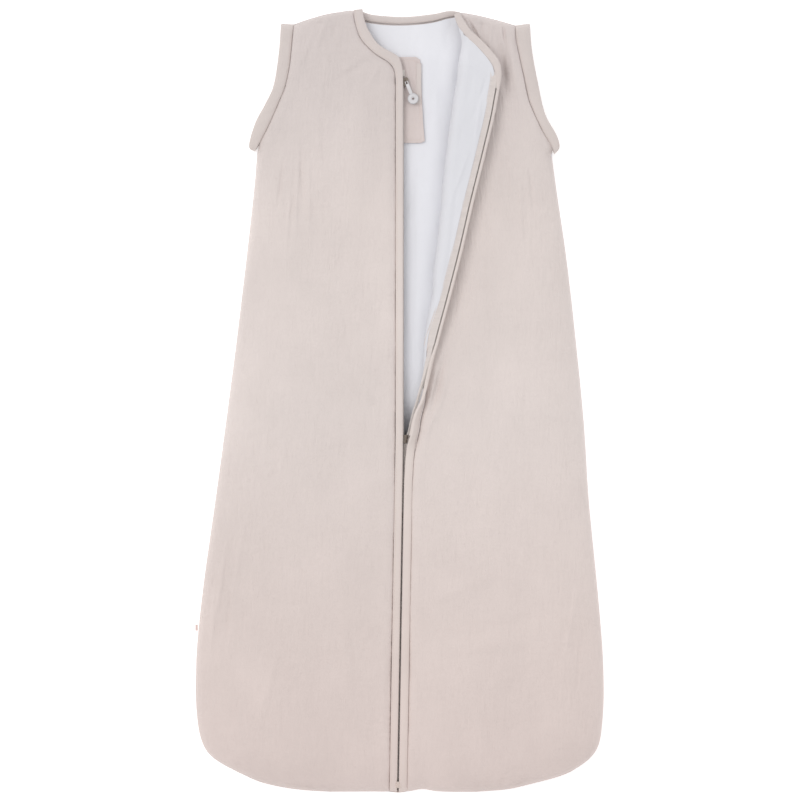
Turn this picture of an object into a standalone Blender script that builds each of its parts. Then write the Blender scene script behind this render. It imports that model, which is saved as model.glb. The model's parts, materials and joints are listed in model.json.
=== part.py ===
"""Baby sleeping bag, lying on its back, with the right half of its front folded open.

Metres, +Z up. X runs across the bag, Y from the hem to the neck. The bag rests on z = 0.
Each cloth layer is its own solid. The front layers are shells that share one height
formula, and the flap is drawn closed and then mirrored over the fold line.
"""
import math

import bmesh
import bpy
from mathutils import Matrix, Vector

GAP = 0.0003                # clearance between touching layers

# Layers of the quilted cloth, as depths below its outer face.
OUTER_LAYER = (0.0, 0.0012)
WADDING_LAYER = (0.0015, 0.0060)
LINING_LAYER = (0.0063, 0.0073)
QUILT = 0.0073
BACK_THICKNESS = 0.0080

# Heights of the back's layers and bindings.
BACK_OUTER = (0.0, 0.0012)
BACK_WADDING = (0.0015, 0.0067)
BACK_LINING = (0.0070, BACK_THICKNESS)
BACK_BAND = (0.0010, 0.0070)
BACK_NECK_BAND = (0.0010, 0.0072)

# Heights of the front's outer face.
Z_SEAM = BACK_THICKNESS + GAP + QUILT
Z_CHEST = 0.036
Z_NECK = 0.024
RAMP_START_Y = -0.040
RAMP_END_Y = 0.440
RISE_SIDE = 0.060           # distance over which the front rises from a side seam
RISE_HEM = 0.045
RISE_SHOULDER = 0.070

# Seam lines, from the hem upwards: hem corner, side, underarm, armhole seam, shoulder.
HEM_LEFT = [(-0.0800, -0.4500), (-0.1190, -0.4470), (-0.1570, -0.4400), (-0.1790, -0.4310),
            (-0.2010, -0.4200)]
SIDE_LEFT = [(-0.2010, -0.4200), (-0.2220, -0.4030), (-0.2310, -0.3800), (-0.2350, -0.3340),
             (-0.2330, -0.2770), (-0.2250, -0.2080), (-0.2120, -0.1160), (-0.1995, -0.0240),
             (-0.1765, 0.1600), (-0.1639, 0.2858)]
ARMHOLE_LEFT = [(-0.1632, 0.2885), (-0.1597, 0.2973), (-0.1501, 0.3157), (-0.1386, 0.3421),
                (-0.1310, 0.3611), (-0.1255, 0.3881), (-0.1213, 0.4330)]
BAND_LEFT = [(-0.1672, 0.2880), (-0.1722, 0.2930), (-0.1656, 0.3191), (-0.1535, 0.3421),
             (-0.1443, 0.3634), (-0.1386, 0.4008), (-0.1363, 0.4341)]
SHOULDER_LEFT = [(-0.1213, 0.4330), (-0.0800, 0.4455), (-0.0530, 0.4494)]
HEM_RIGHT = [(0.0890, -0.4500), (0.1240, -0.4470), (0.1550, -0.4400), (0.1890, -0.4310),
             (0.2090, -0.4200)]
SIDE_RIGHT = [(0.2090, -0.4200), (0.2270, -0.4030), (0.2320, -0.3800), (0.2350, -0.3340),
              (0.2330, -0.2770), (0.2270, -0.2080), (0.2180, -0.1160), (0.2120, -0.0240),
              (0.1926, 0.1600), (0.1754, 0.2823)]
ARMHOLE_RIGHT = [(0.1748, 0.2855), (0.1754, 0.2915), (0.1633, 0.3111), (0.1489, 0.3433),
                 (0.1420, 0.3743), (0.1340, 0.4134), (0.1328, 0.4318)]
BAND_RIGHT = [(0.1790, 0.2850), (0.1834, 0.2904), (0.1811, 0.3042), (0.1673, 0.3295),
              (0.1593, 0.3640), (0.1524, 0.4020), (0.1500, 0.4341)]
SHOULDER_RIGHT = [(0.1328, 0.4318), (0.0903, 0.4433), (0.0707, 0.4468)]
HEM_LINE = HEM_LEFT[::-1] + HEM_RIGHT
BACK_NECK_TOP = [(-0.0500, 0.4490), (-0.0443, 0.4495), (-0.0293, 0.4422), (0.0052, 0.4403),
                 (0.0374, 0.4431), (0.0569, 0.4476), (0.0690, 0.4468)]
BACK_NECK_SEAM = [(-0.0500, 0.4440), (-0.0351, 0.4341), (-0.0155, 0.4318), (0.0109, 0.4318),
                  (0.0374, 0.4341), (0.0569, 0.4410), (0.0690, 0.4430)]

# Zip: straight and upright above the lower slider, leaning a little below it.
ZIP_X = 0.0052
ZIP_BEND_Y = -0.040
ZIP_LEAN = 0.01736
ZIP_TOP_Y = 0.372
ZIP_BOTTOM_Y = -0.432
HEM_Y = -0.4485
BINDING_EDGE = 0.0009       # distances from the zip line
BINDING_SEAM = 0.0095
QUILT_EDGE = 0.0098
SOFT_INSET = 0.0034         # wadding and lining stop this much further from the zip
TAPE_SPAN = (0.0027, 0.0129)
COIL_SPAN = (0.0007, 0.0024)
BINDING_DEPTH = (-0.0004, 0.0026)
TAPE_DEPTH = (0.0049, 0.0057)
COIL_DEPTH = (0.0042, 0.0064)
FRONT_BAND_DEPTH = (0.0004, 0.0062)
FRONT_BAND_DROP = 0.0010    # the band's outer edge lies this much lower than its seam
BINDING_ROWS = (ZIP_BEND_Y, -0.280, -0.400, -0.420, -0.435, -0.4425, HEM_Y)
BINDING_TOP_Y = 0.355
ZIP_ROWS = (ZIP_TOP_Y, ZIP_BEND_Y, -0.280, -0.400, -0.420, ZIP_BOTTOM_Y)
STOP_Y = (-0.4425, -0.4330)
STOP_HALF_WIDTH = 0.0022
STOP_DEPTH = (0.0034, 0.0068)
RETAINER_X = (-0.0030, 0.0006)
RETAINER_LENGTH = 0.0080
RETAINER_DEPTH = (0.0036, 0.0072)
PIN_LENGTH = 0.0120

# Left neck curve: seam and edge of the binding, from the shoulder to the zip.
NECK_SEAM_LEFT = [(-0.0520, 0.4490), (-0.0512, 0.4353), (-0.0443, 0.4157), (-0.0293, 0.3996),
                  (-0.0121, 0.3881), (-0.0060, 0.3801), (-0.0043, 0.3674)]
NECK_EDGE_LEFT = [(-0.0425, 0.4500), (-0.0400, 0.4385), (-0.0351, 0.4249), (-0.0236, 0.4088),
                  (-0.0029, 0.3962), (0.0017, 0.3893), (0.0040, 0.3790)]

# Fold line of the flap, and the neck curve of the flap as it lies when closed.
FOLD_POINT = (0.0062, -0.0926)
FOLD_ANGLE = math.radians(6.74)
FOLD_RADIUS = 0.0040        # inside of the fold
FOLD_OFFSET = 0.0120        # from the fold axis to where the cloth lies flat
FOLD_SPAN = math.radians(150)
FOLD_STEPS = 5
FOLD_OFFSET_LOW = 0.0022    # the same distance next to the slider
FOLD_OFFSET_NECK = 0.0030   # and at the neck
FOLD_WIDENS_Y = (-0.037, 0.070)
FOLD_NARROWS_Y = (0.400, 0.440)
FOLD_TURNS_Y = (0.060, 0.140)
FOLD_UNTURNS_Y = (0.370, 0.400)
FOLD_LEAST_SHARE = 0.03
FLAP_START_Y = -0.0165      # high enough for the flap to clear the left binding as it closes
FLAP_EDGE_ROWS = (FLAP_START_Y, 0.120, 0.360)
FLAP_EDGE_X = 0.0062
NECK_EDGE_FLAP = [(0.0063, 0.3800), (0.0099, 0.3955), (0.0205, 0.4065), (0.0377, 0.4191),
                  (0.0541, 0.4281), (0.0700, 0.4415)]
NECK_SEAM_FLAP = [(0.0150, 0.3745), (0.0184, 0.3880), (0.0262, 0.3968), (0.0422, 0.4088),
                  (0.0585, 0.4183), (0.0650, 0.4255)]

# Sliders and their pulls.
SLIDER_WIDTH = 0.0096
SLIDER_LENGTH = 0.0100
SLIDER_TOP = (0.0029, 0.0040)
SLIDER_BOTTOM = (0.0066, 0.0077)
SLIDER_POST = 0.0009
UPPER_SLIDER_Y = 0.3662
LOWER_SLIDER_Y = -0.0440
ARCH_OFFSET = 0.0026        # the upper slider's arch stands clear of the binding
ARCH_WIDTH = 0.0012
ARCH_HALF_LENGTH = 0.0023
ARCH_HEIGHT = 0.0026
ARCH_WALL = 0.0007
PIVOT_HEIGHT = 0.0009       # of the pull's cross bar over the slider's plate
PULL_TURN = math.radians(22)
PULL_DROOP = math.radians(3)
PULL_LENGTH = 0.0210
DISC_RADIUS = 0.0064
LOWER_PULL_LENGTH = 0.0140
POST_Y = (0.0015, 0.0045)   # where the post stands, from the slider's middle
SINK = 0.0004               # how deep one piece of a slider goes into the next
BAR_RADIUS = 0.00055        # a pull's cross bar, its two arms, its tab and its disc
BAR_LENGTH = 0.0036
ARM_X = 0.0014
ARM_HALF = 0.0004
ARM_Y = (-0.0034, 0.0001)
TAB_HALF = 0.0020
TAB_HALF_THICKNESS = 0.0005
TAB_START_Y = -0.0030
TAB_SHORT = 0.0010          # the tab ends this much before the pull's length
DISC_THICKNESS = 0.0016

GUARD_X = (-0.0035, 0.0282)
GUARD_Y = (0.2960, 0.3450, 0.3950)
GUARD_DEPTH = (0.0080, 0.0094)
LABEL_LOW = (-0.2350, -0.2650, 0.0062)
LABEL_HIGH = (-0.2323, -0.2580, 0.0078)

PANEL_STEPS = (0.0, 0.05, 0.13, 0.27, 0.55, 1.0)
LEFT_ROWS = (-0.450, -0.447, -0.440, -0.431, -0.420, -0.403, -0.380, -0.334, -0.277, -0.208,
             -0.116, -0.040, 0.060, 0.160, 0.230, 0.2858, 0.2885, 0.2973, 0.3157, 0.3421,
             0.3611, 0.3674, 0.3801, 0.3881, 0.3996, 0.4157, 0.4330, 0.4353, 0.4410, 0.4470)
RIGHT_ROWS = (-0.450, -0.447, -0.440, -0.431, -0.420, -0.403, -0.380, -0.334, -0.277, -0.208,
              -0.116, -0.040, 0.0, 0.050, 0.100, 0.150, 0.220, 0.2823, 0.2855, 0.2915, 0.3111,
              0.3433, 0.360, 0.3743, 0.390, 0.400, 0.4134, 0.4318, 0.4385, 0.4433)
FLAP_ROWS = (0.140, 0.185, 0.230, 0.280, 0.330, 0.360, 0.3745, 0.3880, 0.3968, 0.4088)

MUSLIN = (0.74, 0.66, 0.63, 1.0)
BIAS = (0.70, 0.62, 0.57, 1.0)
LINING = (0.76, 0.76, 0.82, 1.0)
WADDING = (0.86, 0.86, 0.86, 1.0)
TAPE = (0.70, 0.68, 0.70, 1.0)
GUARD = (0.68, 0.58, 0.56, 1.0)
PLASTIC = (0.80, 0.80, 0.80, 1.0)
METAL = (0.22, 0.19, 0.17, 1.0)


def interpolate(points, y):
    """X of a line of (x, y) points, given y, for a line that only goes up."""
    if y <= points[0][1]:
        return points[0][0]
    for (x0, y0), (x1, y1) in zip(points, points[1:]):
        if y <= y1:
            return x0 + (x1 - x0) * (y - y0) / (y1 - y0)
    return points[-1][0]


def clamp(value, low=0.0, high=1.0):
    return max(low, min(high, value))


def share_between(value, span):
    """How far a value is from the start of a span to its end, from 0 to 1."""
    return clamp((value - span[0]) / (span[1] - span[0]))


def zip_x(y):
    return ZIP_X + ZIP_LEAN * min(0.0, y - ZIP_BEND_Y)


def plateau(y):
    """Height of the front's outer face away from its seams."""
    ramp = clamp((y - RAMP_START_Y) / (RAMP_END_Y - RAMP_START_Y))
    if y > RAMP_END_Y:
        ramp = (y - RAMP_START_Y) / (RAMP_END_Y - RAMP_START_Y)
    return Z_CHEST + (Z_NECK - Z_CHEST) * ramp


def line_distance(x, y, points):
    """Distance from a point to a line of points."""
    place = Vector((x, y))
    best = math.inf
    for start, end in zip(points, points[1:]):
        start = Vector(start)
        run = Vector(end) - start
        along = clamp((place - start).dot(run) / run.length_squared)
        best = min(best, (place - start - along * run).length)
    return best


def swell(distance, reach):
    """Quarter-round rise from 0 at a seam to 1 at the given reach."""
    return math.sqrt(1.0 - (1.0 - clamp(distance / reach)) ** 2)


def front_height(x, y):
    """Height of the front's outer face."""
    side = min(line_distance(x, y, SIDE_LEFT), line_distance(x, y, SIDE_RIGHT))
    shoulder = min(line_distance(x, y, SHOULDER_LEFT), line_distance(x, y, SHOULDER_RIGHT))
    hem = line_distance(x, y, HEM_LINE)
    rise = min(swell(side, RISE_SIDE), swell(shoulder, RISE_SHOULDER), swell(hem, RISE_HEM))
    return Z_SEAM + (plateau(y) - Z_SEAM) * rise


def axis_x(y):
    """X of the fold axis in plan."""
    return FOLD_POINT[0] + math.tan(FOLD_ANGLE) * (y - FOLD_POINT[1])


def over_fold(x, y):
    """A point of the closed flap, mirrored over the fold axis to where it lies open."""
    dx = x - FOLD_POINT[0]
    dy = y - FOLD_POINT[1]
    turn = 2 * FOLD_ANGLE
    return (FOLD_POINT[0] - dx * math.cos(turn) + dy * math.sin(turn),
            FOLD_POINT[1] + dx * math.sin(turn) + dy * math.cos(turn))


def material(name, colour, roughness, metallic=0.0):
    made = bpy.data.materials.new(name)
    made.use_nodes = True
    shader = made.node_tree.nodes["Principled BSDF"]
    shader.inputs["Base Color"].default_value = colour
    shader.inputs["Roughness"].default_value = roughness
    shader.inputs["Metallic"].default_value = metallic
    made.diffuse_color = colour
    return made


def add_object(name, mesh_data, colour, roughness=0.9, metallic=0.0):
    """Make a named object with its own material from a bmesh, with faces pointing out."""
    bmesh.ops.recalc_face_normals(mesh_data, faces=mesh_data.faces)
    mesh = bpy.data.meshes.new(name)
    mesh_data.to_mesh(mesh)
    mesh_data.free()
    mesh.materials.append(material(name, colour, roughness, metallic))
    made = bpy.data.objects.new(name, mesh)
    bpy.context.scene.collection.objects.link(made)
    return made


def grid_shell(rows, inward, depth):
    """Closed shell between two depths below a grid of points, along its inward directions."""
    made = bmesh.new()
    sheets = []
    for level in depth:
        sheets.append([[made.verts.new(point + way * level) for point, way in zip(row, ways)]
                       for row, ways in zip(rows, inward)])
    top, bottom = sheets
    last_row = len(rows) - 1
    last = len(rows[0]) - 1
    for i in range(last_row):
        for j in range(last):
            made.faces.new((top[i][j], top[i][j + 1], top[i + 1][j + 1], top[i + 1][j]))
            made.faces.new((bottom[i][j], bottom[i + 1][j], bottom[i + 1][j + 1], bottom[i][j + 1]))
    for i in range(last_row):
        made.faces.new((top[i][0], top[i + 1][0], bottom[i + 1][0], bottom[i][0]))
        made.faces.new((top[i][last], bottom[i][last], bottom[i + 1][last], top[i + 1][last]))
    for j in range(last):
        made.faces.new((top[0][j], bottom[0][j], bottom[0][j + 1], top[0][j + 1]))
        made.faces.new((top[last_row][j], top[last_row][j + 1],
                        bottom[last_row][j + 1], bottom[last_row][j]))
    return made


def sheet_shell(rows, depth, downward=True):
    """Closed shell under (or over) a grid of points, straight down (or up)."""
    way = Vector((0, 0, -1 if downward else 1))
    return grid_shell(rows, [[way] * len(row) for row in rows], depth)


def extruded(corners, way):
    """Closed solid from a flat face with the given corners, pushed out one way."""
    made = bmesh.new()
    face = made.faces.new([made.verts.new(corner) for corner in corners])
    lifted = bmesh.ops.extrude_face_region(made, geom=[face])
    moved = [item for item in lifted["geom"] if isinstance(item, bmesh.types.BMVert)]
    bmesh.ops.translate(made, verts=moved, vec=way)
    return made


def plate(outline, levels):
    """Flat plate with the given outline, between two levels."""
    low, high = levels
    return extruded([(x, y, low) for x, y in outline], (0, 0, high - low))


def block(low, high):
    """Closed box between two corners."""
    made = bmesh.new()
    bmesh.ops.create_cube(made, size=1.0)
    low = Vector(low)
    high = Vector(high)
    bmesh.ops.scale(made, vec=high - low, verts=made.verts)
    bmesh.ops.translate(made, vec=(low + high) / 2, verts=made.verts)
    return made


def make_back():
    """Outer muslin, wadding and lining of the back, with its bindings."""
    left = HEM_LEFT + SIDE_LEFT[1:] + ARMHOLE_LEFT + SHOULDER_LEFT[1:]
    right = HEM_RIGHT + SIDE_RIGHT[1:] + ARMHOLE_RIGHT + SHOULDER_RIGHT[1:]
    neck = [(x, y - GAP) for x, y in BACK_NECK_SEAM]
    outline = right + neck[::-1] + left[::-1]
    add_object("back_outer", plate(outline, BACK_OUTER), MUSLIN)
    add_object("back_wadding", plate(outline, BACK_WADDING), WADDING)
    add_object("back_lining", plate(outline, BACK_LINING), LINING)
    for side, seam, edge, way in (("left", ARMHOLE_LEFT, BAND_LEFT, -1),
                                  ("right", ARMHOLE_RIGHT, BAND_RIGHT, 1)):
        inner = [(x + way * GAP, y) for x, y in seam]
        band = plate(inner + edge[::-1], BACK_BAND)
        add_object("armhole_band_" + side + "_back", band, BIAS)
    add_object("neck_binding_back", plate(BACK_NECK_TOP[::-1] + BACK_NECK_SEAM, BACK_NECK_BAND), BIAS)


def quilt_layers(prefix, build):
    """The three layers of one front panel. build(depth, inset) gives a layer's mesh."""
    add_object(prefix + "_outer", build(OUTER_LAYER, 0.0), MUSLIN)
    add_object(prefix + "_wadding", build(WADDING_LAYER, SOFT_INSET), WADDING)
    add_object(prefix + "_lining", build(LINING_LAYER, SOFT_INSET), LINING)


def make_left_front():
    outside = HEM_LEFT + SIDE_LEFT[1:] + ARMHOLE_LEFT + SHOULDER_LEFT[1:]
    neck = [(x - GAP, y) for x, y in NECK_SEAM_LEFT[::-1]]

    def layer(depth, inset):
        rows = []
        for y in LEFT_ROWS:
            x0 = interpolate(outside, y)
            x1 = zip_x(y) - QUILT_EDGE if y < neck[0][1] else interpolate(neck, y)
            x1 -= inset
            row = [(x0 + (x1 - x0) * step, y) for step in PANEL_STEPS]
            rows.append([Vector((x, y, front_height(x, y))) for x, y in row])
        return sheet_shell(rows, depth)

    quilt_layers("front_left", layer)


def panel_end_offset(y):
    """Distance from the fold axis to where the right panel starts to turn over."""
    offset = FOLD_OFFSET_LOW + (FOLD_OFFSET - FOLD_OFFSET_LOW) * share_between(y, FOLD_WIDENS_Y)
    return offset + (FOLD_OFFSET_NECK - FOLD_OFFSET) * share_between(y, FOLD_NARROWS_Y)


def fold_share(y):
    """How much of the fold's turn the right panel makes at this height."""
    share = min(share_between(y, FOLD_TURNS_Y), 1 - share_between(y, FOLD_UNTURNS_Y))
    return FOLD_LEAST_SHARE + (1 - FOLD_LEAST_SHARE) * share


def make_right_front():
    """The fixed part of the right front. Its free edge turns up into the fold."""
    outside = HEM_RIGHT + SIDE_RIGHT[1:] + ARMHOLE_RIGHT + SHOULDER_RIGHT[1:]

    def layer(depth, inset):
        rows = []
        inward = []
        for y in RIGHT_ROWS:
            x1 = interpolate(outside, y)
            if y <= ZIP_BEND_Y:
                curl = (FOLD_RADIUS + QUILT) * math.sin(FOLD_SPAN * fold_share(y))
                x0 = zip_x(y) + QUILT_EDGE + inset + curl
            else:
                x0 = axis_x(y) + panel_end_offset(y)
            flat = [(x1 + (x0 - x1) * step, y) for step in PANEL_STEPS]
            row = [Vector((x, y, front_height(x, y))) for x, y in flat]
            ways = [Vector((0, 0, -1))] * len(row)
            centre = row[-1] + Vector((0, 0, FOLD_RADIUS))
            for step in range(1, FOLD_STEPS + 1):
                turn = FOLD_SPAN * fold_share(y) * step / FOLD_STEPS
                way = Vector((-math.sin(turn), 0, -math.cos(turn)))
                row.append(centre + way * FOLD_RADIUS)
                ways.append(way)
            rows.append(row)
            inward.append(ways)
        return grid_shell(rows, inward, depth)

    quilt_layers("front_right", layer)


def flap_point(x, y):
    """A point of the closed flap's outer face, where it lies open."""
    x, y = over_fold(x, y)
    return Vector((x, y, plateau(y) + 2 * FOLD_RADIUS))


def make_flap():
    """The part of the right front that is folded over, with its layers, outer face down."""
    seam = [(x + GAP, y) for x, y in NECK_SEAM_FLAP]

    def layer(depth, inset):
        rows = []
        for y in FLAP_ROWS:
            if y < seam[0][1]:
                x0 = FLAP_EDGE_X + QUILT_EDGE - BINDING_EDGE + inset
            else:
                x0 = max(interpolate(seam, y), FLAP_EDGE_X + QUILT_EDGE - BINDING_EDGE + inset)
            x1 = axis_x(y) - FOLD_OFFSET - GAP
            rows.append([flap_point(x0 + (x1 - x0) * step / 3, y) for step in range(4)])
        return sheet_shell(rows, depth, downward=False)

    quilt_layers("flap", layer)


def zip_strip(side, span, depth, stations):
    """Strip along the zip on one side of it (-1 left, 1 right), between two distances."""
    rows = []
    for y in stations:
        xs = [zip_x(y) + side * distance for distance in span]
        height = front_height(zip_x(y), y)
        rows.append([Vector((x, y, height)) for x in xs])
    return sheet_shell(rows, depth)


def edge_binding(pairs, depth, height):
    """Binding between a seam and an edge, given as pairs of points."""
    rows = []
    for seam, edge in pairs:
        middle = ((seam[0] + edge[0]) / 2, (seam[1] + edge[1]) / 2)
        rows.append([Vector((x, y, height(x, y))) for x, y in (seam, middle, edge)])
    return sheet_shell(rows, depth)


def make_left_binding():
    """One bias strip round the left half of the neck and down the zip to the hem."""
    pairs = list(zip(NECK_SEAM_LEFT, NECK_EDGE_LEFT))
    for y in (BINDING_TOP_Y,) + BINDING_ROWS:
        pairs.append(((zip_x(y) - BINDING_SEAM, y), (zip_x(y) - BINDING_EDGE, y)))
    add_object("left_front_binding", edge_binding(pairs, BINDING_DEPTH, front_height), BIAS)


def make_armhole_bands_front():
    for side, seam, edge, way in (("left", ARMHOLE_LEFT, BAND_LEFT, -1),
                                  ("right", ARMHOLE_RIGHT, BAND_RIGHT, 1)):
        rows = []
        for (x0, y0), (x1, y1) in zip(seam, edge):
            height = front_height(x0, y0)
            x0 += way * GAP
            middle = Vector(((x0 + x1) / 2, (y0 + y1) / 2, height))
            outer = Vector((x1, y1, height - FRONT_BAND_DROP))
            rows.append([Vector((x0, y0, height)), middle, outer])
        add_object("armhole_band_" + side + "_front", sheet_shell(rows, FRONT_BAND_DEPTH), BIAS)


def make_zip():
    """Tapes, coils, stop, box, lower right binding and chin guard, all fixed to the bag."""
    lower = ZIP_ROWS[1:]
    add_object("left_zip_tape", zip_strip(-1, TAPE_SPAN, TAPE_DEPTH, ZIP_ROWS), TAPE)
    add_object("left_coil", zip_strip(-1, COIL_SPAN, COIL_DEPTH, ZIP_ROWS), PLASTIC, 0.5)
    add_object("right_zip_tape", zip_strip(1, TAPE_SPAN, TAPE_DEPTH, lower), TAPE)
    add_object("right_coil", zip_strip(1, COIL_SPAN, COIL_DEPTH, lower), PLASTIC, 0.5)
    binding = zip_strip(1, (BINDING_EDGE, BINDING_SEAM), BINDING_DEPTH, BINDING_ROWS)
    add_object("right_zip_binding", binding, BIAS)

    middle = zip_x(STOP_Y[0])
    height = front_height(middle, STOP_Y[0])
    stop = block((middle - STOP_HALF_WIDTH, STOP_Y[0], height - STOP_DEPTH[1]),
                 (middle + STOP_HALF_WIDTH, STOP_Y[1], height - STOP_DEPTH[0]))
    add_object("zip_bottom_stop", stop, PLASTIC, 0.5)

    top = plateau(ZIP_TOP_Y)
    box = block((ZIP_X + RETAINER_X[0], ZIP_TOP_Y + GAP, top - RETAINER_DEPTH[1]),
                (ZIP_X + RETAINER_X[1], ZIP_TOP_Y + RETAINER_LENGTH, top - RETAINER_DEPTH[0]))
    add_object("zip_retainer_box", box, PLASTIC, 0.4)

    rows = [[Vector((x, y, plateau(y))) for x in GUARD_X] for y in GUARD_Y]
    add_object("chin_guard", sheet_shell(rows, GUARD_DEPTH), GUARD)


def flap_strip(span, depth, stations):
    """Strip along the flap's zip edge, between two distances from that edge."""
    rows = [[flap_point(FLAP_EDGE_X + distance, y) for distance in span] for y in stations]
    return sheet_shell(rows, depth, downward=False)


def make_flap_edge():
    """Binding, tape, coil and insertion pin along the flap's edges."""
    pairs = [((FLAP_EDGE_X + BINDING_SEAM - BINDING_EDGE, y), (FLAP_EDGE_X, y))
             for y in FLAP_EDGE_ROWS]
    pairs += list(zip(NECK_SEAM_FLAP, NECK_EDGE_FLAP))
    rows = []
    for seam, edge in pairs:
        middle = ((seam[0] + edge[0]) / 2, (seam[1] + edge[1]) / 2)
        rows.append([flap_point(*place) for place in (seam, middle, edge)])
    add_object("flap_binding", sheet_shell(rows, BINDING_DEPTH, downward=False), BIAS)

    pin_start = ZIP_TOP_Y - PIN_LENGTH
    stations = FLAP_EDGE_ROWS[:2] + (pin_start,)
    tape = [distance - BINDING_EDGE for distance in TAPE_SPAN]
    add_object("flap_zip_tape", flap_strip(tape, TAPE_DEPTH, stations), TAPE)
    coil = [distance - BINDING_EDGE for distance in COIL_SPAN]
    add_object("flap_coil", flap_strip(coil, COIL_DEPTH, stations), PLASTIC, 0.5)
    pin = flap_strip(coil, COIL_DEPTH, (pin_start + GAP, ZIP_TOP_Y))
    add_object("zip_insertion_pin", pin, PLASTIC, 0.4)


def union(name, pieces, colour, roughness, metallic):
    """One object from overlapping closed pieces, joined by exact Booleans."""
    made = add_object(name, pieces[0], colour, roughness, metallic)
    for number, piece in enumerate(pieces[1:]):
        helper = add_object(name + "_add" + str(number), piece, colour)
        cut = made.modifiers.new("join", "BOOLEAN")
        cut.operation = "UNION"
        cut.solver = "EXACT"
        cut.object = helper
        helper.hide_render = True
        helper.display_type = "WIRE"
    bpy.context.view_layer.update()
    solved = made.evaluated_get(bpy.context.evaluated_depsgraph_get())
    mesh = bpy.data.meshes.new_from_object(solved)
    made.modifiers.clear()
    made.data = mesh
    for helper in [item for item in bpy.data.objects if item.name.startswith(name + "_add")]:
        bpy.data.objects.remove(helper)
    return made


def slider_pieces(arch_offset, arch_turn, arch_side):
    """Two plates and a post round the coil, and an arch for the pull. Depth 0 is z = 0."""
    half = SLIDER_WIDTH / 2
    long = SLIDER_LENGTH / 2
    pieces = [block((-half, -long, -SLIDER_TOP[1]), (half, long, -SLIDER_TOP[0])),
              block((-half, -long, -SLIDER_BOTTOM[1]), (half, long, -SLIDER_BOTTOM[0])),
              block((-SLIDER_POST / 2, POST_Y[0], -SLIDER_BOTTOM[0] - SINK),
                    (SLIDER_POST / 2, POST_Y[1], -SLIDER_TOP[1] + SINK))]
    base = -SLIDER_TOP[0] if arch_side > 0 else -SLIDER_BOTTOM[1]
    # The arch is one bridge shape: an outline with its tunnel, pushed out sideways.
    profile = [(-ARCH_HALF_LENGTH, -SINK), (-ARCH_HALF_LENGTH, ARCH_HEIGHT),
               (ARCH_HALF_LENGTH, ARCH_HEIGHT), (ARCH_HALF_LENGTH, -SINK),
               (ARCH_HALF_LENGTH - ARCH_WALL, -SINK),
               (ARCH_HALF_LENGTH - ARCH_WALL, ARCH_HEIGHT - ARCH_WALL),
               (-ARCH_HALF_LENGTH + ARCH_WALL, ARCH_HEIGHT - ARCH_WALL),
               (-ARCH_HALF_LENGTH + ARCH_WALL, -SINK)]
    corners = [(-ARCH_WIDTH / 2, y, z * arch_side) for y, z in profile]
    arch = extruded(corners, (ARCH_WIDTH, 0, 0))
    bmesh.ops.rotate(arch, verts=arch.verts, matrix=Matrix.Rotation(arch_turn, 3, "Z"))
    bmesh.ops.translate(arch, verts=arch.verts, vec=(arch_offset, 0, base))
    pieces.append(arch)
    return pieces


def pull_pieces(length, disc_radius):
    """Pull lying along -Y from its cross bar at the origin: eye, tab and round end."""
    bar = bmesh.new()
    bmesh.ops.create_cone(bar, cap_ends=True, segments=10, radius1=BAR_RADIUS, radius2=BAR_RADIUS,
                          depth=BAR_LENGTH, matrix=Matrix.Rotation(math.pi / 2, 4, "Y"))
    pieces = [bar]
    for side in (-1, 1):
        pieces.append(block((side * ARM_X - ARM_HALF, ARM_Y[0], -ARM_HALF),
                            (side * ARM_X + ARM_HALF, ARM_Y[1], ARM_HALF)))
    pieces.append(block((-TAB_HALF, -length + TAB_SHORT, -TAB_HALF_THICKNESS),
                        (TAB_HALF, TAB_START_Y, TAB_HALF_THICKNESS)))
    if disc_radius:
        disc = bmesh.new()
        bmesh.ops.create_cone(disc, cap_ends=True, segments=28, radius1=disc_radius,
                              radius2=disc_radius, depth=DISC_THICKNESS)
        bmesh.ops.translate(disc, vec=(0, -length, 0), verts=disc.verts)
        pieces.append(disc)
    return pieces


def place(made, location, rotation):
    made.matrix_world = Matrix.Translation(location) @ rotation.to_4x4()


def make_upper_slider():
    """Slider parked at the top of the left tape, its pull lying over the chin guard."""
    slope = math.atan((Z_NECK - Z_CHEST) / (RAMP_END_Y - RAMP_START_Y))
    lie = Matrix.Rotation(slope, 3, "X")
    body = union("upper_slider_body", slider_pieces(ARCH_OFFSET, PULL_TURN, 1),
                 METAL, 0.35, 0.9)
    base = Vector((ZIP_X, UPPER_SLIDER_Y, plateau(UPPER_SLIDER_Y)))
    place(body, base, lie)
    pull = union("upper_pull_tab", pull_pieces(PULL_LENGTH, DISC_RADIUS), PLASTIC, 0.4, 0.0)
    pivot = base + lie @ Vector((ARCH_OFFSET, 0, -SLIDER_TOP[0] + PIVOT_HEIGHT))
    turn = lie @ Matrix.Rotation(PULL_TURN, 3, "Z") @ Matrix.Rotation(PULL_DROOP, 3, "X")
    place(pull, pivot, turn)


def make_lower_slider():
    """Slider at the top of the closed stretch, its pull hanging inside the bag."""
    lean = Matrix.Rotation(-math.atan(ZIP_LEAN), 3, "Z")
    body = union("lower_slider_body", slider_pieces(0.0, 0.0, -1), METAL, 0.35, 0.9)
    base = Vector((zip_x(LOWER_SLIDER_Y), LOWER_SLIDER_Y, Z_CHEST))
    place(body, base, lean)
    pull = union("lower_pull_tab", pull_pieces(LOWER_PULL_LENGTH, 0.0), METAL, 0.35, 0.9)
    pivot = base + Vector((0, 0, -SLIDER_BOTTOM[1] - PIVOT_HEIGHT))
    place(pull, pivot, lean @ Matrix.Rotation(math.pi / 2, 3, "X"))


def make_side_label():
    """Small folded tab in the left side seam."""
    add_object("side_label", block(LABEL_LOW, LABEL_HIGH), GUARD)


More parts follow.
